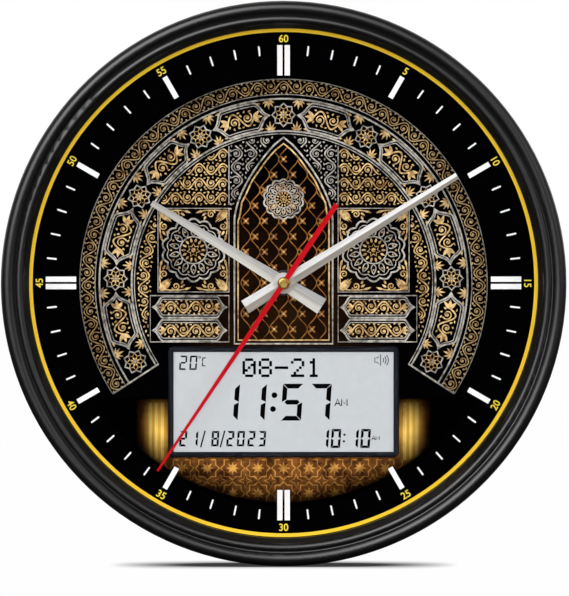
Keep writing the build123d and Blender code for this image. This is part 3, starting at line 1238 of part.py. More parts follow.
def second_hand():
    """Flat strip that narrows towards the tip, with a square tail."""
    tail, hub, tip = (width / 2 for width in SECOND_WIDTHS)
    left = [(-tail, -SECOND_TAIL), (-hub, 0), (-tip, SECOND_TIP)]
    right = [(-x, z) for x, z in reversed(left)]
    with BuildPart() as hand:
        with BuildSketch(layer(SECOND_HAND_DEPTH, turn=-SECOND_ANGLE)):
            with BuildLine():
                Polyline(*left, *right, close=True)
            make_face()
            Circle(SECOND_HUB_RADIUS)
            Circle(CAP_STEM_RADIUS + PRESS_GAP, mode=Mode.SUBTRACT)
        extrude(amount=SECOND_SHEET)
    return hand.part


def second_hand_cap():
    """Domed brass cap whose stem is pressed on the second wheel's arbor."""
    base = SECOND_HAND_DEPTH + SECOND_SHEET
    with BuildPart() as cap:
        disc(CAP_RADIUS, base, base + CAP_HEIGHT)
        fillet(cap.faces().sort_by(Axis.Y)[0].edges(), radius=CAP_EDGE)
        disc(CAP_STEM_RADIUS, base - CAP_STEM, base)
        bore = SECOND_ARBOR_RADIUS + PRESS_GAP
        disc(bore, base - CAP_STEM, base + CAP_HEIGHT / 2 + PRESS_GAP, mode=Mode.SUBTRACT)
    return cap.part


PIECES = {
    "front_bezel": front_bezel(),
    "lens": lens(),
    "dial_spacer_ring": dial_spacer_ring(),
    "dial_plate": dial_plate(),
    "rear_case": rear_case(),
    "case_screws": screws(CASE_SCREW_SPOTS, RECESS_DEPTH, CASE_SCREW_LENGTH),
    "hanger_plate": hanger_plate(),
    "hanger_screws": screws(HANGER_SCREW_SPOTS, HANGER_DEPTH, POCKET_DEPTH + FLOOR_THICKNESS),
    "lcd_bezel": lcd_bezel(),
    "lcd_glass": lcd_glass(),
    "lcd_reflector": lcd_reflector(),
    "zebra_strips": zebra_strips(),
    "lcd_housing": lcd_housing(),
    "main_board": main_board(),
    "board_components": board_components(),
    "board_screws": screws(BOARD_SCREW_SPOTS, BOARD_BACK, BOARD_GAP - BAY_WALL, radius=BOARD_SCREW_RADIUS),
    "tact_switches": tact_switches(),
    "slide_switch_body": slide_switch_body(),
    "slide_switch_knob": slide_switch_knob(),
    "speaker_basket": speaker_basket(),
    "speaker_cone": speaker_cone(),
    "speaker_magnet": speaker_magnet(),
    "speaker_screws": screws(
        SPEAKER_SCREW_SPOTS, FLOOR_DEPTH + SPEAKER_FLANGE, FLOOR_THICKNESS, forwards=False
    ),
    "aa_batteries": aa_batteries(),
    "battery_contacts": battery_contacts(),
    "battery_springs": battery_springs(),
    "battery_door": battery_door(),
    "speaker_lead": speaker_lead(),
    "battery_lead": battery_lead(),
    "movement_front_case": movement_front_case(),
    "movement_middle_plate": movement_middle_plate(),
    "movement_rear_case": movement_rear_case(),
    "movement_nut": movement_nut(),
    "movement_washer": movement_washer(),
    "movement_stator": stator(),
    "coil_bobbin": coil_bobbin(),
    "coil_winding": coil_winding(),
    "movement_circuit": movement_circuit(),
    "movement_battery": movement_battery(),
    "movement_contacts": movement_contacts(),
    "rotor": rotor(),
    "step_wheel": step_wheel(),
    "second_wheel": second_wheel(),
    "third_wheel": third_wheel(),
    "minute_wheel": minute_wheel(),
    "motion_wheel": motion_wheel(),
    "hour_wheel": hour_wheel(),
    "setting_knob": setting_knob(),
    "hour_hand": hour_hand(),
    "minute_hand": minute_hand(),
    "second_hand": second_hand(),
    "second_hand_cap": second_hand_cap(),
}
for button_name, button_spot in zip(BUTTON_NAMES, BUTTON_SPOTS):
    PIECES[f"{button_name}_button"] = button(button_spot)

os.makedirs("parts", exist_ok=True)
for piece_name, piece in PIECES.items():
    piece.label = piece_name
    export_step(piece, f"parts/{piece_name}.step")
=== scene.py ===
import json
from math import atan2, cos, degrees, hypot, pi, radians, sin, sqrt

import bpy
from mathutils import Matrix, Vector


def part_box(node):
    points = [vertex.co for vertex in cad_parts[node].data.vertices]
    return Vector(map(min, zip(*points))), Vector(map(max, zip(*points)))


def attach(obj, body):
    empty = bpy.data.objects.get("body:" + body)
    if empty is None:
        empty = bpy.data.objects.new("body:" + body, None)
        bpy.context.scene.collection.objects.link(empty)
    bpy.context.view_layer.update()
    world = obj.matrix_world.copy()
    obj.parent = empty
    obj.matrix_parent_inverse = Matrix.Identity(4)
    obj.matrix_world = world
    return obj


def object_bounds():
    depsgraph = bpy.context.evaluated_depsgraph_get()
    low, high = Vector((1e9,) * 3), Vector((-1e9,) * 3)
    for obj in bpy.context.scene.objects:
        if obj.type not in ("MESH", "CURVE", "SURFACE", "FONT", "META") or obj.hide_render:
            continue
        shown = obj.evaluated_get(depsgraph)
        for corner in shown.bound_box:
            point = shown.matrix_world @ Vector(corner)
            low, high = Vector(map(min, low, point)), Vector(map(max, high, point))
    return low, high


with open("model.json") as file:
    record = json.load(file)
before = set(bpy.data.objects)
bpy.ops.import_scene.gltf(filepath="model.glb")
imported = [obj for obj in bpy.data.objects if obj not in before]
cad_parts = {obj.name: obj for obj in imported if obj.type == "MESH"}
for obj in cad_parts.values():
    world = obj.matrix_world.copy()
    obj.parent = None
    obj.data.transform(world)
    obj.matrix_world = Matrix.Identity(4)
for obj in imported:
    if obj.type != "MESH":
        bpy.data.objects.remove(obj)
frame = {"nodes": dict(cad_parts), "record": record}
cad_low, cad_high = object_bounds()

# The looks of the azan wall clock. Sizes are in millimetres and become metres in the meshes.
# The clock faces -Y with +Z up and its hands turn about the Y axis. A spot on the dial is (x, z),
# and a depth is a distance in front of the wall.
MM = 0.001


def front_of(node):
    """Depth of a node's front face."""
    return -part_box(node)[0].y / MM


DIAL_FRONT = front_of("dial_plate")
LCD_FRONT = front_of("lcd_glass")
PRINT_LIFT = 0.03  # each layer of print lies this far in front of the one below
TRACK_LIFT = 0.24  # the minute track lies in front of all the raised threads
THREAD = 0.95  # width of a main stroke
FINE_THREAD = 0.5
RELIEF = 0.12  # how far the middle of a stroke stands above its edges

# ---- Sizes of the minute track ----
RING_RADII = (137.9, 139.9)
TICK_RADII = (125.3, 130.8)
TICK_WIDTH = 0.95
BAR_RADII = (117.4, 130.7)
BAR_WIDTH = 2.85
QUARTER_RADII = (114.0, 130.7)  # of the double bars at the quarters
QUARTER_WIDTH = 2.9
QUARTER_GAP = 1.15
NUMBER_RADIUS = 134.4
NUMBER_HEIGHT = 4.1
NUMBER_STRETCH = 0.96  # width of the digits, as a share of the font's
NUMBER_BOLD = 0.018  # growth of their outlines, as a share of their height
DIGIT_SHARE = 0.73  # height of the font's digits, as a share of its size

# ---- Sizes of the ornament ----
ART_RADIUS = 112.0
BORDER_INNER = 103.6
FRIEZE_OUTER = 101.2
FRIEZE_INNER = 83.5
FIELD_RADIUS = 82.0
BORDER_END = -33.0  # degrees above +X where the ring borders end, beside the module
FRIEZE_PANELS = 8
KNOT_INSET = 5.0  # degrees from the frieze's end to its last star knot
NICHE_HALF = 27.0
NICHE_BOTTOM = -33.5
NICHE_SPRING = 34.0  # where the arch starts
NICHE_TOP = 80.0
ARCH_RISE, ARCH_FLANK = 1.15, 0.8  # powers that shape the arch
LATTICE_PITCH = 10.4
LATTICE_WAVE = 17.0
FLOWER_INSET = 4.6  # the niche's flowers stay this far inside its line
HUB_RADIUS = 7.5  # and this far from the hands' axis
NICHE_MEDALLION = ((0, 46), 11.0)
PANEL_INNER = NICHE_HALF + 3.0
PANEL_ROWS = ((-32.5, -7.0), (-5.0, 41.0))  # lowest and highest line of each row of side panels
PANELS_TOP = PANEL_ROWS[-1][1] + 2.0
VINE_PITCH = 8.0  # height of the vines that fill the areas between the panels

# ---- Sizes of the module's surroundings ----
LCD_SPOT = (0.0, -65.5)
LCD_FRAME = (127.0, 61.0)
LCD_MARGIN = 0.6  # the ornament ends this far outside the frame
DIGITS_SPOT = (0.0, -66.3)  # middle of what the panel shows
DIGIT_SLANT = 0.07  # sideways lean of its digits for each millimetre of height
COLUMN_TOP = -63.0
COLUMN_MIDDLE = 70.0
COLUMN_PITCH = 3.4
COLUMN_RIBS = 3
RIB_TOP = -66.0
RIB_POINTS = 32  # one for each millimetre
RIB_RELIEF = 0.16
GLOW_HEIGHT = -80.0  # middle of the warm light on the columns
GLOW_RADII = (8.0, 26.0)
GLOW_SQUEEZE = 9.0  # how much faster the light falls off sideways, squared
WOOD_RADIUS = 123.0
WOOD_SIDE_FADE = (70.0, 81.0)
WOOD_TOP_FADE = (-82.0, -63.5)
WOOD_EDGE_FADE = (106.0, 121.0)
WOOD_BAND = (18.0, 16.0)  # how far the band's lower and upper edge go beyond the module's sides
STARS_TOP = -96.5
STARS = (-70.0, 70.0, -116.0, -102.0)  # left, right, low and high spots of the star lattice
STAR_PITCH = 14.0


# ---- Colours and materials ----
def linear(red, green, blue):
    """Linear colour from the 0-255 values that a screen shows."""
    shares = [value / 255 for value in (red, green, blue)]
    return tuple(v / 12.92 if v <= 0.04045 else ((v + 0.055) / 1.055) ** 2.4 for v in shares) + (1.0,)


BLACK = (0.0, 0.0, 0.0, 1.0)
WHITE = (1.0, 1.0, 1.0, 1.0)


class Nodes:
    """Short ways to add nodes to a node tree."""

    def __init__(self, tree):
        self.tree = tree

    def feed(self, socket, value):
        """Links a socket to another node's output, or sets its value."""
        if isinstance(value, bpy.types.NodeSocket):
            self.tree.links.new(value, socket)
        else:
            socket.default_value = value

    def node(self, kind, **inputs):
        made = self.tree.nodes.new(kind)
        for key, value in inputs.items():
            self.feed(made.inputs[key.replace("_", " ")], value)
        return made

    def math(self, operation, first, second=0.0, kind="ShaderNodeMath"):
        made = self.tree.nodes.new(kind)
        made.operation = operation
        self.feed(made.inputs[0], first)
        self.feed(made.inputs[1], second)
        return made.outputs["Value"]

    def vector_math(self, operation, first, second=(0, 0, 0)):
        return self.math(operation, first, second, "ShaderNodeVectorMath")

    def spread(self, value, low, high, to_low, to_high, kind="LINEAR"):
        """The value, mapped from one range to another and kept inside it."""
        made = self.node("ShaderNodeMapRange", Value=value, From_Min=low, From_Max=high, To_Min=to_low,
                         To_Max=to_high)
        made.interpolation_type = kind
        return made.outputs["Result"]

    def rays(self, *kinds):
        """1 for the kinds of ray that are named, and 0 for all others."""
        path = self.node("ShaderNodeLightPath")
        found = path.outputs[kinds[0]]
        for kind in kinds[1:]:
            found = self.math("MAXIMUM", found, path.outputs[kind])
        return found

    def choose(self, share, first, second):
        """The second shader instead of the first one by a share."""
        made = self.node("ShaderNodeMixShader")
        for socket, value in zip(made.inputs, (share, first, second)):
            self.feed(socket, value)
        return made.outputs["Shader"]


class Finish(Nodes):
    """A procedural material around one Principled shader."""

    def __init__(self, name, roughness=0.5, metallic=0.0, specular=0.5):
        self.material = bpy.data.materials.new(name)
        self.material.use_nodes = True
        super().__init__(self.material.node_tree)
        self.shader = self.tree.nodes["Principled BSDF"]
        self.shader.inputs["Roughness"].default_value = roughness
        self.shader.inputs["Metallic"].default_value = metallic
        self.shader.inputs["Specular IOR Level"].default_value = specular
        self.coords = self.node("ShaderNodeTexCoord").outputs["Object"]

    def mapped(self, turn=(0, 0, 0), stretch=(1, 1, 1)):
        """Object coordinates in axes that are turned, in which the pattern is then stretched."""
        made = self.node("ShaderNodeMapping", Vector=self.coords, Rotation=turn, Scale=stretch)
        made.vector_type = "TEXTURE"
        return made.outputs["Vector"]

    def parts(self):
        """Outputs with the object coordinates."""
        return self.node("ShaderNodeSeparateXYZ", Vector=self.coords).outputs

    def noise(self, scale, detail=3.0, vector=None):
        made = self.node("ShaderNodeTexNoise", Scale=scale, Detail=detail, Vector=vector or self.coords)
        return made.outputs["Fac"]

    def ramp(self, value, *stops):
        """Colour from a value, with two (place, colour) stops."""
        made = self.node("ShaderNodeValToRGB", Fac=value)
        for element, (place, colour) in zip(made.color_ramp.elements, stops):
            element.position = place
            element.color = colour
        return made.outputs["Color"]

    def mix(self, share, first, second):
        made = self.tree.nodes.new("ShaderNodeMix")
        made.data_type = "RGBA"
        for number, value in ((0, share), (6, first), (7, second)):  # places of the colour sockets
            self.feed(made.inputs[number], value)
        return made.outputs[2]

    def colour(self, value):
        self.feed(self.shader.inputs["Base Color"], value)

    def rough(self, value, low, high):
        """Roughness that varies with a value around its middle."""
        self.feed(self.shader.inputs["Roughness"], self.spread(value, 0.3, 0.7, low, high))

    def bump(self, value, height):
        """Bump of a real height in millimetres."""
        made = self.node("ShaderNodeBump", Height=value, Strength=1.0, Distance=height * MM)
        self.feed(self.shader.inputs["Normal"], made.outputs["Normal"])

    def surface(self, shader):
        self.feed(self.tree.nodes["Material Output"].inputs["Surface"], shader)

    def print_fade(self, inner, outer, dimmest):
        """Share of full colour left at a distance from the hands' axis."""
        parts = self.parts()
        flat = self.node("ShaderNodeCombineXYZ", X=parts["X"], Z=parts["Z"])
        length = self.vector_math("LENGTH", flat.outputs["Vector"])
        return self.spread(length, inner * MM, outer * MM, 1.0, dimmest)


def grained(name, dark, light, scale, roughness, grain=0.02, grain_scale=None, metallic=0.0, specular=0.5):
    """Two close colours in soft patches, with roughness that follows them and a fine grain."""
    made = Finish(name, metallic=metallic, specular=specular)
    patches = made.noise(scale, 4.0)
    made.colour(made.ramp(patches, (0.3, linear(*dark)), (0.7, linear(*light))))
    made.rough(patches, *roughness)
    made.bump(made.noise(grain_scale or scale * 8, 2.0), grain)
    return made.material


def brushed_hand(name, angle, painted_lit_side, painted_shaded_side):
    """Brushed aluminium whose lines run along a hand at a clock angle, with painted shade: one side of the
    hand's middle line gets a lighter colour and the other a darker one, for a lit and a shaded facet.
    """
    made = Finish(name, metallic=0.3, specular=0.3)
    along = made.mapped((0, radians(angle), 0), (1.0, 1.0, 40.0))
    lines = made.noise(700.0, 4.0, along)
    across = made.node("ShaderNodeSeparateXYZ", Vector=along).outputs["X"]
    # Painted shade: this share splits the hand along its middle line into a lit colour and a shaded colour.
    side = made.spread(across, -0.25 * MM, 0.25 * MM, 0.0, 1.0)
    painted_facet_shades = [made.ramp(lines, (0.3, linear(*[0.86 * v for v in bright])), (0.7, linear(*bright)))
              for bright in (painted_lit_side, painted_shaded_side)]
    made.colour(made.mix(side, *painted_facet_shades))
    made.rough(lines, 0.34, 0.48)
    made.bump(lines, 0.01)
    return made.material


def thread(name, dark, light, scale=420.0):
    """Printed embroidery thread, light and dark in short stretches, that fades towards the dial's edge."""
    made = Finish(name, roughness=0.45, specular=0.2)
    patches = made.math("MULTIPLY", made.noise(scale, 5.0), 0.65)
    broad = made.math("MULTIPLY", made.noise(45.0, 2.0), 0.35)
    base = made.ramp(made.math("ADD", patches, broad), (0.36, linear(*dark)), (0.62, linear(*light)))
    made.colour(made.mix(made.print_fade(92.0, 114.0, 0.40), BLACK, base))
    return made.material


def dial_black():
    """Black print with a faint warm glow around the centre line and below the hands."""
    made = Finish("dial_black", roughness=0.6, specular=0.0)
    parts = made.parts()
    near = made.spread(made.math("ABSOLUTE", parts["X"]), 0.0, 60 * MM, 1.0, 0.0)
    low = made.spread(parts["Z"], -30 * MM, 60 * MM, 0.55, 0.0)
    glow = made.math("MULTIPLY", made.math("MULTIPLY", near, low), made.noise(120.0, 4.0))
    glow = made.math("MULTIPLY", glow, made.print_fade(96.0, 117.0, 0.0))
    made.colour(made.mix(glow, linear(1, 1, 2), linear(74, 46, 22)))
    return made.material


def carved_wood(name, base_dark, base_light, glow_colour):
    """Printed carved panel with warm light on the columns at both sides of the module."""
    made = Finish(name, roughness=0.5, specular=0.0)
    parts = made.parts()
    across = made.math("ABSOLUTE", parts["X"])
    base = made.ramp(made.noise(260.0, 6.0), (0.34, linear(*base_dark)), (0.66, linear(*base_light)))
    side = made.math("SUBTRACT", across, COLUMN_MIDDLE * MM)
    side = made.math("MULTIPLY", made.math("MULTIPLY", side, side), GLOW_SQUEEZE)
    rise = made.math("SUBTRACT", parts["Z"], GLOW_HEIGHT * MM)
    rise = made.math("MULTIPLY", rise, rise)
    distance = made.math("SQRT", made.math("ADD", side, rise))
    streaks = made.noise(500.0, 3.0, made.mapped(stretch=(1.0, 1.0, 14.0)))
    glow = made.math("MULTIPLY", made.spread(distance, GLOW_RADII[0] * MM, GLOW_RADII[1] * MM, 1.0, 0.0),
                     made.spread(streaks, 0.3, 0.55, 0.55, 1.0))
    lit = made.mix(glow, base, linear(*glow_colour))
    beside = made.spread(across, WOOD_SIDE_FADE[0] * MM, WOOD_SIDE_FADE[1] * MM, 1.0, 0.0)
    under = made.spread(parts["Z"], WOOD_TOP_FADE[0] * MM, WOOD_TOP_FADE[1] * MM, 1.0, 0.0)
    left_over = made.math("MULTIPLY", made.print_fade(*WOOD_EDGE_FADE, 0.0),
                          made.math("MULTIPLY", beside, under))
    made.colour(made.mix(left_over, BLACK, lit))
    return made.material


def lens_glass():
    """Clear pane with hardly any reflection, which lets lamps through to the dial."""
    made = Finish("lens_glass", roughness=0.0)
    made.shader.inputs["Transmission Weight"].default_value = 1.0
    made.shader.inputs["IOR"].default_value = 1.12
    made.colour(WHITE)
    clear = made.node("ShaderNodeBsdfTransparent").outputs["BSDF"]
    lamp_rays = made.rays("Is Shadow Ray", "Is Diffuse Ray")
    made.surface(made.choose(lamp_rays, made.shader.outputs["BSDF"], clear))
    return made.material


def wound_copper():
    """Enamelled wire, wound around X."""
    made = Finish("wound_copper", roughness=0.3, metallic=0.9)
    waves = made.node("ShaderNodeTexWave", Vector=made.coords, Scale=1400.0, Distortion=0.4).outputs["Fac"]
    made.colour(made.ramp(waves, (0.1, linear(120, 58, 28)), (0.9, linear(205, 120, 66))))
    made.bump(waves, 0.08)
    return made.material


PLASTIC = dict(grain=0.03, grain_scale=2600.0)
HOUR_ANGLE, MINUTE_ANGLE = 301.3, 58.25
SLOT_FINISHES = {
    "black_gloss": grained("bezel_satin", (5, 5, 6), (8, 8, 9), 30.0, (0.36, 0.39), 0.003, specular=0.6),
    "lens_clear": lens_glass(),
    "black_matte": grained("case_grain", (20, 20, 21), (30, 30, 31), 60.0, (0.46, 0.60), **PLASTIC),
    "printed_dial": dial_black(),
    "screw_steel": grained("zinc_steel", (150, 150, 152), (190, 190, 188), 240.0, (0.28, 0.42), metallic=1.0),
    "lcd_frame": grained("lcd_frame_satin", (12, 15, 22), (18, 21, 29), 90.0, (0.3, 0.38), 0.004,
                         specular=0.2),
    "lcd_panel": grained("lcd_panel", (197, 201, 204), (202, 206, 209), 200.0, (0.45, 0.5), 0.0,
                         specular=0.1),
    "white_sheet": grained("white_sheet", (214, 216, 216), (226, 228, 228), 80.0, (0.5, 0.6)),
    "grey_rubber": grained("zebra_rubber", (60, 60, 64), (120, 120, 124), 1500.0, (0.6, 0.7)),
    "inner_plastic": grained("acetal", (205, 200, 186), (224, 220, 208), 90.0, (0.38, 0.48), **PLASTIC),
    "circuit_board": grained("solder_mask", (12, 62, 34), (20, 88, 48), 350.0, (0.28, 0.4), 0.03),
    "components": grained("moulded_parts", (22, 22, 24), (44, 44, 46), 300.0, (0.4, 0.6)),
    "button_rubber": grained("button_rubber", (40, 40, 43), (54, 54, 57), 150.0, (0.55, 0.7), **PLASTIC),
    "speaker_metal": grained("painted_steel", (44, 44, 47), (66, 66, 69), 160.0, (0.3, 0.45), metallic=0.4),
    "cone_paper": grained("cone_paper", (22, 22, 22), (40, 39, 37), 500.0, (0.75, 0.9), 0.06),
    "cell_jacket": grained("cell_jacket", (24, 74, 98), (34, 92, 118), 70.0, (0.22, 0.3)),
    "lead_sheath": grained("lead_sheath", (132, 14, 16), (168, 24, 24), 200.0, (0.4, 0.5)),
    "copper": wound_copper(),
    "brass_parts": grained("turned_brass", (176, 132, 62), (222, 182, 104), 260.0, (0.22, 0.34),
                           metallic=0.9),
    "rotor_magnet": grained("bonded_magnet", (58, 58, 62), (84, 84, 88), 400.0, (0.45, 0.6), metallic=0.3),
    "knob_plastic": grained("knob_plastic", (196, 196, 190), (214, 214, 208), 110.0, (0.4, 0.5), **PLASTIC),
    # The hour hand's two colours are painted shade: the lighter for a lit facet, the darker for a shaded one.
    "hand_metal": brushed_hand("hour_hand_brushed_painted_facets", HOUR_ANGLE, (222, 218, 210), (176, 174, 172)),
    "hand_red": grained("hand_red", (180, 6, 18), (194, 12, 28), 120.0, (0.35, 0.42), 0.003, specular=0.1),
}
# Pieces whose finish differs from that of the others in their slot
NODE_FINISHES = {
    # The minute hand's two colours are painted shade too: a lit facet and a shaded facet.
    "minute_hand": brushed_hand("minute_hand_brushed_painted_facets", MINUTE_ANGLE, (208, 207, 206), (174, 167, 156)),
    "movement_nut": SLOT_FINISHES["screw_steel"],
    "movement_washer": SLOT_FINISHES["components"],
}


def dress_frame():
    """Gives each CAD node the finish of its slot."""
    slots = {piece["node"]: piece["material_slot"] for piece in frame["record"]["subparts"]}
    for name, piece in frame["nodes"].items():
        finish = NODE_FINISHES.get(name, SLOT_FINISHES[slots[name]])
        if not piece.material_slots:
            piece.data.materials.append(finish)
        for holder in piece.material_slots:
            holder.material = finish


# ---- Flat artwork ----
def add_object(name, data):
    made = bpy.data.objects.new(name, data)
    bpy.context.scene.collection.objects.link(made)
    return made


class Artwork:
    """Strokes and raised shapes in dial millimetres, gathered into one mesh."""

    def __init__(self, name, material, depth, slot="printed_dial", inside=None):
        self.name, self.material, self.depth, self.slot = name, material, depth, slot
        self.inside = inside or (lambda x, z: True)
        self.points, self.faces = [], []

    def add(self, corners):
        """A face from (x, z, lift) corners, turned so that it looks forwards."""
        area = sum(a[0] * b[1] - b[0] * a[1] for a, b in zip(corners, corners[1:] + corners[:1]))
        start = len(self.points)
        self.points += corners if area > 0 else corners[::-1]
        self.faces.append(tuple(range(start, start + len(corners))))

    def fill(self, outline):
        self.add([(x, z, 0.0) for x, z in outline])

    def puff(self, outline, height=RELIEF):
        """A raised shape, highest in its middle."""
        x = sum(point[0] for point in outline) / len(outline)
        z = sum(point[1] for point in outline) / len(outline)
        if not self.inside(x, z):
            return
        for a, b in zip(outline, outline[1:] + outline[:1]):
            self.add([(a[0], a[1], 0.0), (b[0], b[1], 0.0), (x, z, height)])

    def stroke(self, line, width=THREAD, closed=False, tip=1.0, height=RELIEF):
        """A ribbon along a line with a raised middle, whose width falls to a share of itself at the end."""
        for run in self.runs(line, closed):
            self.ribbon(run, width, closed and len(run) == len(line), tip, height)

    def runs(self, line, closed):
        """The stretches of a line that lie inside the allowed area."""
        if all(self.inside(x, z) for x, z in line):
            return [line]
        found, run = [], []
        for point in line + line[:1] if closed else line:
            if self.inside(*point):
                run.append(point)
            else:
                found.append(run)
                run = []
        found.append(run)
        return [run for run in found if len(run) > 1]

    def ribbon(self, line, width, closed, tip, height):
        count = len(line)
        rails = []
        for number, (x, z) in enumerate(line):
            before = line[number - 1] if number or closed else line[number]
            after = line[(number + 1) % count] if number < count - 1 or closed else line[number]
            run = hypot(after[0] - before[0], after[1] - before[1]) or 1.0
            half = width / 2 * (1 + (tip - 1) * number / (count - 1))
            side = (-(after[1] - before[1]) / run * half, (after[0] - before[0]) / run * half)
            rails.append(((x + side[0], z + side[1], 0.0), (x, z, height), (x - side[0], z - side[1], 0.0)))
        pairs = list(zip(rails, rails[1:]))
        if closed:
            pairs.append((rails[-1], rails[0]))
        for a, b in pairs:
            self.add([a[0], a[1], b[1], b[0]])
            self.add([a[1], a[2], b[2], b[1]])

    def build(self, body="case"):
        mesh = bpy.data.meshes.new(self.name)
        spots = [(x * MM, -(self.depth + lift) * MM, z * MM) for x, z, lift in self.points]
        mesh.from_pydata(spots, [], self.faces)
        mesh.materials.append(self.material)
        mesh.update()
        made = add_object(self.name, mesh)
        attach(made, body)


def polar(radius, angle, middle=(0.0, 0.0)):
    """Spot at a radius and an angle in degrees anticlockwise from +X."""
    return middle[0] + radius * cos(radians(angle)), middle[1] + radius * sin(radians(angle))


def arc(middle, radius, start, end, steps):
    return [polar(radius, start + (end - start) * step / steps, middle) for step in range(steps + 1)]


def circle(middle, radius, steps=48):
    return arc(middle, radius, 0, 360 - 360 / steps, steps - 1)


def spiral(middle, outer, inner, start, turns, steps=20):
    """A spiral that winds inwards."""
    shares = [step / steps for step in range(steps + 1)]
    return [polar(outer + (inner - outer) * share**0.85, start + 360 * turns * share, middle)
            for share in shares]


def leaf(base, angle, length, width, bend=0.0):
    """A pointed leaf from its base, bent sideways by an angle in degrees."""
    def place(along, across):
        turn = radians(angle + bend * along / length)
        return (base[0] + along * cos(turn) - across * sin(turn),
                base[1] + along * sin(turn) + across * cos(turn))

    halves = [(length * share, width / 2 * sin(pi * share**0.75)) for share in (0.2, 0.4, 0.6, 0.8)]
    upper = [place(along, half) for along, half in reversed(halves)]
    lower = [place(along, -half) for along, half in halves]
    return [place(0, 0)] + lower + [place(length, 0)] + upper


def star(middle, outer, inner, points, turn=90.0):
    """Outline of a star from its first point, at the turn's angle."""
    return [polar(inner if number % 2 else outer, turn + 180 * number / points, middle)
            for number in range(2 * points)]


def straight(middle, angle=0.0):
    """Placing function for a band along a line through a spot."""
    a = radians(angle)
    return lambda s, t: (middle[0] + s * cos(a) - t * sin(a), middle[1] + s * sin(a) + t * cos(a))


def round_band(radius, middle_angle):
    """Placing function for a band along a circle about the axis: s runs clockwise and t outwards."""
    return lambda s, t: polar(radius + t, middle_angle - degrees(s / radius))


def placed(line, place):
    return [place(s, t) for s, t in line]


def vine(gold, place, length, height, width):
    """A waving stem with a spiral, leaves and a berry in each half wave."""
    count = max(2, round(length / (0.85 * height)))
    step = length / count
    rise = 0.36 * height
    radius = min(0.40 * step, 0.33 * height)
    for number in range(count):
        up = 1 if number % 2 == 0 else -1
        left = -length / 2 + number * step
        stem = [(left + step * k / 10, up * rise * sin(pi * k / 10)) for k in range(11)]
        gold.stroke(placed(stem, place), width)
        middle = (left + step / 2, -0.05 * up * height)
        curl = [(x, middle[1] + up * (z - middle[1]))
                for x, z in spiral(middle, radius, 0.18 * radius, -55, 1.45)]
        gold.stroke(placed(curl, place), width * 0.85, tip=0.6)
        gold.puff(placed(circle(middle, 0.26 * radius, 8), place), 2 * RELIEF)
        for angle, size in ((205, 0.62), (250, 0.5), (295, 0.62)):
            x, z = polar(radius, angle)
            root = (middle[0] + x, middle[1] + up * z)
            gold.puff(placed(leaf(root, up * angle, size * radius, 0.36 * radius, up * 30), place))
        for side in (-1, 1):
            root = (left + step / 2 + side * step * 0.34, up * rise * 0.92)
            turn = up * (90 - side * 38)
            gold.puff(placed(leaf(root, turn, 0.55 * radius, 0.3 * radius, -up * side * 35), place))


def vines_in(gold, area, side, places, length):
    """Vines that fill an area on the right, or its mirror image where the side is -1."""
    allowed = gold.inside
    gold.inside = lambda x, z: allowed(x, z) and area(side * x, z)
    for place in places:
        mirrored = lambda s, t: (side * place(s, t)[0], place(s, t)[1])
        vine(gold, mirrored, length, VINE_PITCH, THREAD * 0.8)
    gold.inside = allowed


def palmette(gold, place, root, angle, size, width, spread):
    """Five leaves that fan out from a root."""
    for number in range(-2, 3):
        length = size * (1 - 0.14 * abs(number))
        gold.puff(placed(leaf(root, angle + number * spread, length, width, -number * 12), place))


def cartouche_line(width, height):
    """Outline of a long panel whose ends are ogee points."""
    half, top = width / 2, height / 2
    end = top * 0.95
    quarter = [(half - end, top)]
    for k in range(10):
        a = k / 9
        z = top * (1 - a) ** 1.5 * (1 + 0.16 * sin(2 * pi * a))
        quarter.append((half - end + end * a, z))
    right = quarter + [(x, -z) for x, z in reversed(quarter[:-1])]
    left = [(-x, -z) for x, z in right]
    long_edge = [(half - end) * (1 - 2 * k / 12) for k in range(1, 12)]
    return right + [(x, -top) for x in long_edge] + left + [(-x, top) for x in long_edge]


def cartouche(silver, gold, place, width, height):
    """A pointed panel with a double outline and a vine."""
    silver.stroke(placed(cartouche_line(width, height), place), THREAD, closed=True)
    silver.stroke(placed(cartouche_line(width - 3.4, height - 3.0), place), FINE_THREAD, closed=True)
    vine(gold, place, width - height * 1.15, height * 0.74, THREAD * 0.9)
    for side in (-1, 1):
        root = (side * (width / 2 - height * 0.60), 0)
        for turn in (-42, 0, 42):
            shape = leaf(root, (0 if side > 0 else 180) + turn, height * 0.34, height * 0.13)
            gold.puff(placed(shape, place))


def star_knot(silver, gold, middle, radius, turn):
    """Two interlaced squares around a small flower."""
    silver.stroke(star(middle, radius, radius * 0.765, 8, turn), THREAD * 0.9, closed=True)
    gold.stroke(star(middle, radius * 0.74, radius * 0.5, 8, turn + 22.5), FINE_THREAD * 1.2, closed=True)
    for number in range(8):
        angle = turn + 45 * number
        gold.puff(leaf(polar(radius * 0.12, angle, middle), angle, radius * 0.34, radius * 0.16))
    silver.puff(circle(middle, radius * 0.11, 10), 2 * RELIEF)


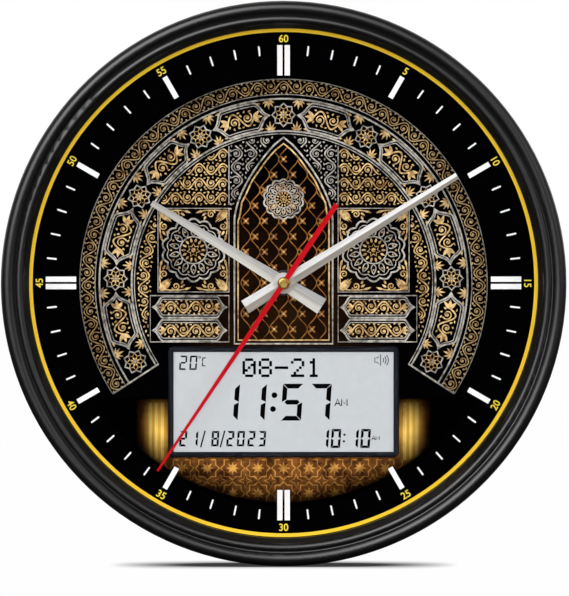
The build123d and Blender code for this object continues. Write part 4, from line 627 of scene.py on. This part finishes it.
def medallion(silver, gold, middle, radius):
    """Round rosette: lobed rim, looped petals, beads and a star."""
    lobes = 14
    rim, loops = [], []
    for step in range(lobes * 8):
        angle = 360 * step / (lobes * 8)
        bulge = abs(sin(radians(angle * lobes / 2)))
        rim.append(polar(radius * (0.90 + 0.10 * bulge), angle, middle))
        loops.append(polar(radius * (0.78 + 0.07 * bulge), angle, middle))
    silver.stroke(rim, THREAD, closed=True)
    silver.stroke(loops, FINE_THREAD, closed=True)
    for number in range(lobes):
        angle = 360 * (number + 0.5) / lobes
        between = angle + 180 / lobes
        petal = leaf(polar(radius * 0.45, angle, middle), angle, radius * 0.32, radius * 0.15)
        silver.stroke(petal, FINE_THREAD * 1.3, closed=True)
        gold.puff(circle(polar(radius * 0.63, angle, middle), radius * 0.03, 6))
        gold.puff(leaf(polar(radius * 0.24, between, middle), between, radius * 0.16, radius * 0.07))
        gold.puff(circle(polar(radius * 0.71, between, middle), radius * 0.035, 6))
    silver.stroke(circle(middle, radius * 0.43), FINE_THREAD * 1.4, closed=True)
    gold.stroke(star(middle, radius * 0.21, radius * 0.12, 7), FINE_THREAD, closed=True)
    gold.puff(circle(middle, radius * 0.07, 10), 2 * RELIEF)


def niche_line(inset=0.0):
    """Pointed arch, from the lower right corner round to the lower left one; lobed where it is inset."""
    half, spring, top = NICHE_HALF - inset, NICHE_SPRING, NICHE_TOP - 1.7 * inset
    right = [(half, NICHE_BOTTOM + inset), (half, (NICHE_BOTTOM + spring) / 2)]
    for k in range(15):
        a = k / 14
        lobe = 0.9 * abs(sin(pi * 3.5 * a)) if inset else 0.0
        x = half * cos(a * pi / 2) ** ARCH_FLANK - lobe * (1 - a)
        right.append((x, spring + (top - spring) * a**ARCH_RISE))
    return right + [(-x, z) for x, z in reversed(right[:-1])]


def in_niche(x, z, inset=2.2):
    half, top = NICHE_HALF - inset, NICHE_TOP - 2 * inset
    if not NICHE_BOTTOM + inset < z < top:
        return False
    if z < NICHE_SPRING:
        return abs(x) < half
    a = ((z - NICHE_SPRING) / (top - NICHE_SPRING)) ** (1 / ARCH_RISE)
    return abs(x) < half * cos(a * pi / 2) ** ARCH_FLANK


def outside_lcd(x, z):
    half_width, half_height = LCD_FRAME[0] / 2 + LCD_MARGIN, LCD_FRAME[1] / 2 + LCD_MARGIN
    return not (abs(x - LCD_SPOT[0]) < half_width and abs(z - LCD_SPOT[1]) < half_height)


def ring_borders(silver, gold):
    """The two ring borders that go over the top of the dial."""
    start, end = BORDER_END, 180 - BORDER_END
    for radius, width in ((ART_RADIUS, FINE_THREAD), (BORDER_INNER, FINE_THREAD), (FRIEZE_OUTER, THREAD),
                          (FRIEZE_INNER, THREAD), (FIELD_RADIUS, FINE_THREAD)):
        silver.stroke(arc((0, 0), radius, start, end, 150), width)
    middle = (ART_RADIUS + BORDER_INNER) / 2
    length = radians(end - start) * middle
    vine(gold, round_band(middle, 90), length, ART_RADIUS - BORDER_INNER, FINE_THREAD * 1.2)
    frieze = (FRIEZE_OUTER + FRIEZE_INNER) / 2
    height = FRIEZE_OUTER - FRIEZE_INNER
    pitch = (end - start - 2 * KNOT_INSET) / FRIEZE_PANELS
    length = radians(pitch) * frieze - height * 0.86
    for number in range(FRIEZE_PANELS):
        angle = start + KNOT_INSET + (number + 0.5) * pitch
        cartouche(silver, gold, round_band(frieze, angle), length, height - 2.4)
    for number in range(FRIEZE_PANELS + 1):
        angle = start + KNOT_INSET + number * pitch
        star_knot(silver, gold, polar(frieze, angle), height * 0.36, angle)
        for along in (-1, 1):
            if 0 <= number - (along + 1) / 2 < FRIEZE_PANELS:
                frieze_corners(gold, round_band(frieze, angle), height, along)
    for angle in (start, end):
        silver.stroke([polar(FIELD_RADIUS, angle), polar(ART_RADIUS, angle)], THREAD)


def frieze_corners(gold, place, height, along):
    """Fans of leaves on the frieze's two edges, on one side of a star knot."""
    for across in (-1, 1):
        root = (along * height * 0.44, across * (height / 2 - 1.0))
        palmette(gold, place, root, -90 * across, height * 0.27, height * 0.065, 46)
        tip = (along * height * 0.80, across * (height / 2 - 1.9))
        gold.puff(placed(leaf(tip, 90 + 90 * along, height * 0.14, height * 0.07), place))


def panel_reach(low, high):
    """How far from the middle a panel may go and stay inside the ring borders."""
    return sqrt(FIELD_RADIUS**2 - max(abs(low), abs(high)) ** 2) - 2.0


def side_fields(silver, gold):
    """Panels between the niche and the ring borders, the same on both sides."""
    for side in (-1, 1):
        for low, high in PANEL_ROWS:
            reach = panel_reach(low, high)
            corners = [(PANEL_INNER, low), (reach, low), (reach, high), (PANEL_INNER, high)]
            silver.stroke([(side * x, z) for x, z in corners], FINE_THREAD * 1.3, closed=True)
            middle = (side * (PANEL_INNER + reach) / 2, (low + high) / 2)
            width, height = reach - PANEL_INNER, high - low
            if height > width:
                square_panel(silver, gold, middle, width, height)
                continue
            for row in (-1, 1):
                place = straight((middle[0], middle[1] + row * height / 4))
                cartouche(silver, gold, place, width - 2.4, height / 2 - 1.2)
        free_fields(silver, gold, side)


def square_panel(silver, gold, middle, width, height):
    """A medallion with a spray of leaves in each corner around it."""
    medallion(silver, gold, middle, min(width, height) / 2 - 2.2)
    for across in (-1, 1):
        for up in (-1, 1):
            corner = (middle[0] + across * width / 2, middle[1] + up * height / 2)
            corner_spray(gold, lambda s, t: (corner[0] - across * s, corner[1] - up * t))


def corner_spray(gold, place):
    """Leaves and two curls that grow out of a corner, along both of its edges."""
    palmette(gold, place, (0.9, 0.9), 45, 9.6, 1.5, 19)
    for way in (place, lambda s, t: place(t, s)):
        gold.stroke(placed(spiral((9.8, 3.2), 2.4, 0.4, 200, 1.5), way), THREAD * 0.8, tip=0.7)
        gold.stroke(placed([(4.0, 1.3), (7.0, 1.0), (12.0, 1.1), (14.5, 1.4)], way), THREAD * 0.7)
        for root, angle, length in (((12.3, 2.6), 20, 3.0), ((12.6, 4.4), 50, 2.4), ((14.2, 1.5), 4, 4.2)):
            gold.puff(placed(leaf(root, angle, length, 1.3, 12), way))


def free_fields(silver, gold, side):
    """Vines in the areas that no panel covers: beside the arch, above the panels and next to the borders."""
    line_top = sqrt((FIELD_RADIUS - 1) ** 2 - PANEL_INNER**2)
    silver.stroke([(side * PANEL_INNER, PANELS_TOP), (side * PANEL_INNER, line_top)], FINE_THREAD * 1.3)
    edge = FIELD_RADIUS - 1.2

    def beside_arch(x, z):
        between = 0.6 < x < PANEL_INNER - 0.6 and z > NICHE_SPRING
        return between and hypot(x, z) < edge and not in_niche(x, z, -1.6)

    def above_panels(x, z):
        return x > PANEL_INNER + 0.6 and z > PANELS_TOP - 1.0 and hypot(x, z) < edge

    def next_to_border(x, z):
        row = PANEL_ROWS[0] if z < (PANEL_ROWS[0][1] + PANEL_ROWS[1][0]) / 2 else PANEL_ROWS[1]
        return x > panel_reach(*row) + 0.9 and hypot(x, z) < edge and PANEL_ROWS[0][0] < z < PANELS_TOP

    columns = [straight((PANEL_INNER - (0.55 + number) * VINE_PITCH, 60.0), 90) for number in range(3)]
    vines_in(silver, beside_arch, side, columns, 44.0)
    rows = [straight((PANEL_INNER + 26.0, PANELS_TOP + (0.45 + number) * VINE_PITCH)) for number in range(5)]
    vines_in(gold, above_panels, side, rows, 52.0)
    vines_in(gold, next_to_border, side, [round_band(edge - 0.5 * VINE_PITCH, 3.0)], 78.0)


def niche(silver, gold, amber):
    """The pointed arch in the middle, with an ogee lattice and small flowers in it."""
    silver.stroke(niche_line(), THREAD, closed=True)
    gold.stroke(niche_line(2.0), THREAD * 0.9, closed=True)
    heights = [NICHE_BOTTOM + (NICHE_TOP - NICHE_BOTTOM) * k / 120 for k in range(121)]
    for column in range(-4, 5):
        middle, sway = column * LATTICE_PITCH / 2, (1 if column % 2 else -1) * LATTICE_PITCH / 4
        line = [(middle + sway * cos(2 * pi * z / LATTICE_WAVE), z) for z in heights]
        amber.stroke(line, FINE_THREAD)
    rows = int((NICHE_TOP - NICHE_BOTTOM) / (LATTICE_WAVE / 2)) + 1
    for row in range(-rows, rows):
        for column in range(-5, 6):
            shift = LATTICE_PITCH / 2 if row % 2 else 0.0
            spot = (column * LATTICE_PITCH + shift, row * LATTICE_WAVE / 2)
            if not in_niche(*spot, FLOWER_INSET) or hypot(*spot) < HUB_RADIUS:
                continue
            for angle in (45, 135, 225, 315):
                amber.puff(leaf(polar(0.3, angle, spot), angle, 2.3, 1.3))
            gold.puff(circle(spot, 0.7, 8), 2 * RELIEF)
    medallion(silver, gold, *NICHE_MEDALLION)


def star_lattice(carving):
    """Eight-pointed stars, with smaller ones in them and between them."""
    left, right, low, high = STARS
    pitch = STAR_PITCH
    for column in range(int((right - left) / pitch) + 1):
        for row in range(int((high - low) / pitch) + 1):
            spot = (left + column * pitch, low + row * pitch)
            carving.stroke(star(spot, pitch * 0.47, pitch * 0.36, 8), FINE_THREAD * 1.3, closed=True)
            carving.puff(star(spot, pitch * 0.26, pitch * 0.12, 8, 0.0))
            carving.puff(circle(spot, pitch * 0.06, 8))
            corner = (spot[0] + pitch / 2, spot[1] + pitch / 2)
            carving.stroke(star(corner, pitch * 0.26, pitch * 0.11, 4, 0.0), FINE_THREAD, closed=True)


def in_wood(x, z):
    return z < STARS_TOP and hypot(x, z) < WOOD_RADIUS - 1


def column_ribs(carving):
    """The ribs of the two columns beside the module."""
    for side in (-1, 1):
        for number in range(COLUMN_RIBS):
            x = side * (COLUMN_MIDDLE + (number - (COLUMN_RIBS - 1) / 2) * COLUMN_PITCH)
            rib = [(x, RIB_TOP - step) for step in range(RIB_POINTS)]
            carving.stroke(rib, COLUMN_PITCH * 0.55, height=RIB_RELIEF)


def wood_base(base):
    """Plain ground of the carved panels: two sides and a band below the module."""
    half = LCD_FRAME[0] / 2 - 1
    top, bottom = COLUMN_TOP, LCD_SPOT[1] - LCD_FRAME[1] / 2 + 1
    ends = [-degrees(atan2(-z, sqrt(WOOD_RADIUS**2 - z**2))) for z in (top, bottom)]
    for side in (-1, 1):
        edge = arc((0, 0), WOOD_RADIUS, *ends, 20)
        base.fill([(side * x, z) for x, z in [(half, top)] + edge + [(half, bottom)]])
    lower, upper = [half + beyond for beyond in WOOD_BAND]
    reach = degrees(atan2(lower, -bottom))
    edge = arc((0, 0), WOOD_RADIUS, -90 - reach, -90 + reach, 30)
    base.fill([(x, z) for x, z in edge if z < bottom] + [(upper, bottom), (-upper, bottom)])


def dial_art():
    """All the ornament of the dial: embroidery in three colours, and the carved panels."""
    silver, gold, amber, carving, ground = (
        Artwork(name, material, DIAL_FRONT + layer * PRINT_LIFT, inside=inside)
        for name, material, layer, inside in (
            ("silver_embroidery", thread("silver_thread", (92, 88, 82), (206, 200, 190)), 3, outside_lcd),
            ("gold_embroidery", thread("gold_thread", (120, 80, 36), (242, 208, 146)), 3, outside_lcd),
            ("amber_embroidery", thread("amber_thread", (78, 44, 16), (176, 118, 52), 300.0), 2, in_niche),
            ("carved_pattern",
             carved_wood("carved_pattern", (128, 80, 36), (230, 170, 84), (255, 220, 120)), 2, None),
            ("carved_ground",
             carved_wood("carved_ground", (58, 34, 16), (142, 88, 42), (236, 180, 70)), 1, None)))
    ring_borders(silver, gold)
    side_fields(silver, gold)
    niche(silver, gold, amber)
    column_ribs(carving)
    carving.inside = in_wood
    star_lattice(carving)
    wood_base(ground)
    for piece in (silver, gold, amber, carving, ground):
        piece.build()


# ---- Minute track ----
def minute_track():
    """Ring, ticks and bars."""
    yellow = grained("yellow_print", (250, 204, 40), (254, 210, 50), 60.0, (0.45, 0.5))
    ring = Artwork("yellow_ring", yellow, DIAL_FRONT + PRINT_LIFT)
    line = circle((0, 0), sum(RING_RADII) / 2, 240)
    ring.stroke(line, RING_RADII[1] - RING_RADII[0], closed=True, height=0.0)
    ring.build()
    white = grained("white_print", (244, 244, 244), (252, 252, 252), 60.0, (0.45, 0.5))
    track = Artwork("minute_track", white, DIAL_FRONT + TRACK_LIFT)
    for minute in range(60):
        place = straight((0, 0), 90 - 6 * minute)
        if minute % 15 == 0:
            for side in (-1, 1):
                offset = side * (QUARTER_WIDTH + QUARTER_GAP) / 2
                track.fill(placed(bar(QUARTER_RADII, QUARTER_WIDTH, offset), place))
        elif minute % 5 == 0:
            track.fill(placed(bar(BAR_RADII, BAR_WIDTH), place))
        else:
            track.fill(placed(round_bar(TICK_RADII, TICK_WIDTH), place))
    track.build()


def bar(radii, width, offset=0.0):
    low, high = offset - width / 2, offset + width / 2
    return [(radii[0], low), (radii[1], low), (radii[1], high), (radii[0], high)]


def round_bar(radii, width):
    half = width / 2
    return arc((radii[1] - half, 0), half, -90, 90, 8) + arc((radii[0] + half, 0), half, 90, 270, 8)


def minute_numbers():
    """The numbers 5 to 60, each with its top or its foot outwards so that it reads upright."""
    pale = grained("number_print", (244, 218, 58), (250, 226, 72), 60.0, (0.45, 0.5))
    numbers = Artwork("minute_numbers", pale, DIAL_FRONT + TRACK_LIFT)
    for minute in range(5, 61, 5):
        text = bpy.data.curves.new("number", "FONT")
        text.body = str(minute)
        text.size = NUMBER_HEIGHT / DIGIT_SHARE
        text.offset = NUMBER_BOLD * NUMBER_HEIGHT
        text.align_x = "CENTER"
        holder = bpy.data.objects.new("number", text)
        mesh = bpy.data.meshes.new_from_object(holder)
        flipped = 15 < minute < 45
        place = straight(polar(NUMBER_RADIUS, 90 - 6 * minute), -6 * minute + (180 if flipped else 0))
        spots = [place(vertex.co.x * NUMBER_STRETCH, vertex.co.y - NUMBER_HEIGHT / 2)
                 for vertex in mesh.vertices]
        for face in mesh.polygons:
            numbers.fill([spots[corner] for corner in face.vertices])
        bpy.data.objects.remove(holder)
        bpy.data.curves.remove(text)
        bpy.data.meshes.remove(mesh)
    numbers.build()


# ---- Liquid crystal digits ----
SEGMENTS = {
    "0": "abcdef", "1": "bc", "2": "abged", "3": "abgcd",
    "5": "afgcd", "7": "abc", "8": "abcdefg", "C": "afed",
}
DOTS = {
    "0": ("01110", "10001", "10011", "10101", "11001", "10001", "01110"),
    "1": ("00100", "01100", "00100", "00100", "00100", "00100", "01110"),
    "2": ("01110", "10001", "00001", "00010", "00100", "01000", "11111"),
    "8": ("01110", "10001", "10001", "01110", "10001", "10001", "01110"),
    "-": ("00000", "00000", "00000", "11111", "00000", "00000", "00000"),
}


def segment_digit(art, char, left, bottom, width, height, thick):
    """One seven-segment digit with mitred segments and small gaps."""
    gap, half, middle = thick * 0.05, thick / 2, height / 2
    across = [(2 * gap, height), (width - 2 * gap, height), (width - thick - gap, height - thick),
              (thick + gap, height - thick)]
    upright = [(0, middle + gap), (0, height - 2 * gap), (thick, height - thick - gap),
               (thick, middle + half + gap)]
    dash = [(half + gap, middle), (thick + gap, middle + half), (width - thick - gap, middle + half),
            (width - half - gap, middle), (width - thick - gap, middle - half), (thick + gap, middle - half)]

    def low(shape):
        return [(x, height - z) for x, z in shape]

    def right(shape):
        return [(width - x, z) for x, z in shape]

    shapes = {"a": across, "d": low(across), "g": dash, "f": upright, "b": right(upright), "e": low(upright),
              "c": low(right(upright))}
    for name in SEGMENTS[char]:
        art.fill([(left + x + DIGIT_SLANT * z, bottom + z) for x, z in shapes[name]])


def segment_text(art, text, spot, size, thick, pitch):
    """A row of digits from its lower left corner, each of a width and a height."""
    for number, char in enumerate(text):
        segment_digit(art, char, spot[0] + number * pitch, spot[1], size[0], size[1], thick)


def dot_text(art, text, left, top, pitch):
    for number, char in enumerate(text):
        for row, cells in enumerate(DOTS[char]):
            for column, cell in enumerate(cells):
                if cell == "1":
                    x, z = left + (6 * number + column) * pitch, top - row * pitch
                    art.fill([(x, z), (x + pitch, z), (x + pitch, z - pitch), (x, z - pitch)])


def speaker_sign(art, left, bottom, size):
    """A small loudspeaker with three sound waves."""
    middle, width = bottom + size / 2, size * 0.06
    body = [(0.0, -0.16), (0.18, -0.16), (0.42, -0.40), (0.42, 0.40), (0.18, 0.16), (0.0, 0.16)]
    art.stroke([(left + size * x, middle + size * z) for x, z in body], width, closed=True, height=0.0)
    for number in range(3):
        wave = arc((left + size * 0.42, middle), size * (0.22 + 0.17 * number), -42, 42, 10)
        art.stroke(wave, width, height=0.0)


def capital_a_m(art, left, bottom, height, thick):
    """The letters of the morning half of the day, in thin strokes."""
    width = height * 0.80
    second = width * 1.22  # where the second letter starts
    for line in ([(0, 0), (width / 2, height), (width, 0)],
                 [(width * 0.2, height * 0.34), (width * 0.8, height * 0.34)],
                 [(second, 0), (second, height), (second + width * 0.5, height * 0.3),
                  (second + width, height), (second + width, 0)]):
        art.stroke([(left + x, bottom + z) for x, z in line], thick, height=0.0)


def lcd_digits():
    """Everything that the panel shows, around the module's middle."""
    ink = grained("lcd_ink", (3, 3, 4), (8, 8, 9), 300.0, (0.5, 0.6), specular=0.0)
    art = Artwork("lcd_digits", ink, LCD_FRONT + PRINT_LIFT, "lcd_panel")
    segment_text(art, "20", (-57.5, 18.4), (4.1, 7.9), 0.95, 5.6)
    art.stroke(circle((-46.1, 25.4), 0.5, 12), 0.35, closed=True, height=0.0)
    segment_text(art, "C", (-45.0, 20.4), (2.3, 4.9), 0.6, 4.0)
    dot_text(art, "08-21", -22.6, 24.8, 1.48)
    segment_text(art, "11", (-36.6, -9.5), (11.3, 20.3), 2.6, 14.8)
    segment_text(art, "57", (-1.7, -9.5), (11.3, 20.3), 2.6, 15.6)
    for spot in ((-5.0, 4.5), (-5.8, -3.1)):
        art.fill(circle(spot, 1.6, 20))
    for spot in ((33.5, -17.3), (33.2, -20.9)):
        art.fill(circle(spot, 0.65, 20))
    capital_a_m(art, 28.2, -1.4, 3.8, 0.62)
    segment_text(art, "21", (-57.5, -23.7), (4.1, 8.5), 1.2, 6.0)
    segment_text(art, "8", (-39.9, -23.7), (4.1, 8.5), 1.2, 6.0)
    segment_text(art, "2023", (-31.6, -23.7), (4.1, 8.5), 1.2, 5.8)
    for left in (-45.6, -34.8):
        art.stroke([(left, -24.2), (left + 2.484, -15.0)], 0.8, height=0.0)
    for left in (19.2, 35.5):
        segment_text(art, "10", (left, -24.6), (5.3, 10.5), 1.4, 6.6)
    capital_a_m(art, 48.6, -20.2, 2.3, 0.45)
    speaker_sign(art, 50.2, 20.0, 7.6)
    art.points = [(x + DIGITS_SPOT[0], z + DIGITS_SPOT[1], lift) for x, z, lift in art.points]
    art.build()


# ---- Studio ----
CAMERA_DISTANCE = 5000.0
CAMERA_ELEVATION = 1.8
CAMERA_AZIMUTH = -0.3
CAMERA_TARGET = (0.0, -42.0, 0.0)
IMAGE_SIZE = (569, 596)
CLOCK_CENTRE_PIXEL = (283.7, 283.8)
MM_PER_PIXEL = 0.548
SENSOR = 36.0
# Name, place in metres and power of each softbox
SOFTBOXES = (("front_softbox", (0.0, -3.0, 0.25), 50.0), ("left_softbox", (-1.4, -1.7, 0.2), 6.0),
             ("right_softbox", (1.4, -1.7, 0.2), 6.0), ("back_softbox", (-1.3, 1.7, 1.1), 42.0))
SOFTBOX_SIZE = 0.8
WORLD_LIGHT = 0.6
REFLECTED_GROUND = 0.05
# The soft lamps that gloss shows: direction, cosine of the angle from the middle to the edge, and level
REFLECTED_LAMPS = (((-0.31, -0.85, 0.42), 0.86, 7.5), ((0.72, -0.62, 0.30), 0.86, 1.4))
# Reach of the shadow that is painted on the floor around the clock
FLOOR_SHADOW_REACH = 28.0
FLOOR_HALF = 6000.0
FLOOR_GAP = 0.2  # below the clock


def studio_camera():
    """Long lens, slightly above and to the left, with the clock a little above the picture's middle."""
    data = bpy.data.cameras.new("camera")
    data.sensor_fit = "HORIZONTAL"
    data.sensor_width = SENSOR
    data.lens = SENSOR * CAMERA_DISTANCE / (IMAGE_SIZE[0] * MM_PER_PIXEL)
    data.clip_end = 50.0
    data.shift_x = (IMAGE_SIZE[0] / 2 - CLOCK_CENTRE_PIXEL[0]) / IMAGE_SIZE[0]
    data.shift_y = -(IMAGE_SIZE[1] / 2 - CLOCK_CENTRE_PIXEL[1]) / IMAGE_SIZE[0]
    camera = add_object("camera", data)
    azimuth, elevation = radians(CAMERA_AZIMUTH), radians(CAMERA_ELEVATION)
    away = Vector((sin(azimuth) * cos(elevation), -cos(azimuth) * cos(elevation), sin(elevation)))
    camera.location = (Vector(CAMERA_TARGET) + away * CAMERA_DISTANCE) * MM
    camera.rotation_euler = (-away).to_track_quat("-Z", "Y").to_euler()
    bpy.context.scene.camera = camera


def studio_lights():
    """Softboxes that point at the clock. The world makes the reflections instead of them."""
    for name, spot, power in SOFTBOXES:
        data = bpy.data.lights.new(name, "AREA")
        data.energy = power
        data.shape = "RECTANGLE"
        data.size = data.size_y = SOFTBOX_SIZE
        box = add_object(name, data)
        box.location = spot
        box.rotation_euler = (-Vector(spot)).to_track_quat("-Z", "Y").to_euler()
        box.visible_glossy = False
        box.visible_transmission = False


def studio_world():
    """White to the eye and even light; in reflections, dim in front with soft lamps and white behind."""
    world = bpy.data.worlds.new("studio")
    bpy.context.scene.world = world
    world.use_nodes = True
    world.node_tree.nodes.clear()
    made = Nodes(world.node_tree)
    direction = made.node("ShaderNodeTexCoord").outputs["Generated"]
    backwards = made.node("ShaderNodeSeparateXYZ", Vector=direction).outputs["Y"]
    behind = made.spread(backwards, 0.0, 0.55, 0.0, 1.0, "SMOOTHSTEP")
    reflected = made.math("ADD", behind, REFLECTED_GROUND)
    for aim, edge, level in REFLECTED_LAMPS:
        facing = made.vector_math("DOT_PRODUCT", direction, Vector(aim).normalized())
        patch = made.spread(facing, edge, 1.0, 0.0, level, "SMOOTHSTEP")
        reflected = made.math("ADD", reflected, patch)
    light, mirror, eye = [
        made.node("ShaderNodeBackground", Color=WHITE, Strength=strength).outputs["Background"]
        for strength in (WORLD_LIGHT, reflected, 1.0)]
    shown = made.choose(made.rays("Is Glossy Ray", "Is Transmission Ray"), light, mirror)
    shown = made.choose(made.rays("Is Camera Ray"), shown, eye)
    made.node("ShaderNodeOutputWorld", Surface=shown)


def studio_floor():
    """Plain floor, white to the eye, with a painted soft shadow where the clock stands close to it: ambient
    occlusion darkens the white that it shows.
    """
    made = Finish("floor_paper", roughness=0.9, specular=0.0)
    made.colour(made.ramp(made.noise(6.0, 2.0), (0.3, linear(108, 108, 109)), (0.7, linear(114, 114, 115))))
    # Painted shadow: ambient occlusion within this reach darkens the floor's emitted white near the clock.
    near = made.node("ShaderNodeAmbientOcclusion", Distance=FLOOR_SHADOW_REACH * MM)
    near.samples = 32
    shade = made.ramp(near.outputs["AO"], (0.25, linear(60, 60, 60)), (0.96, linear(254, 254, 254)))
    level = made.spread(made.rays("Is Camera Ray"), 0.0, 1.0, REFLECTED_GROUND, 1.0)
    white = made.node("ShaderNodeEmission", Color=shade, Strength=level).outputs["Emission"]
    seen = made.rays("Is Camera Ray", "Is Glossy Ray", "Is Transmission Ray")
    made.surface(made.choose(seen, made.shader.outputs["BSDF"], white))
    mesh = bpy.data.meshes.new("studio_floor")
    half, z = FLOOR_HALF * MM, cad_low.z - FLOOR_GAP * MM
    corners = [(-half, -half, z), (half, -half, z), (half, half, z), (-half, half, z)]
    mesh.from_pydata(corners, [], [(0, 1, 2, 3)])
    mesh.materials.append(made.material)
    floor = add_object("studio_floor", mesh)


bpy.context.scene.view_settings.view_transform = "Standard"
dress_frame()
dial_art()
minute_track()
minute_numbers()
lcd_digits()
studio_camera()
studio_lights()
studio_world()
studio_floor()
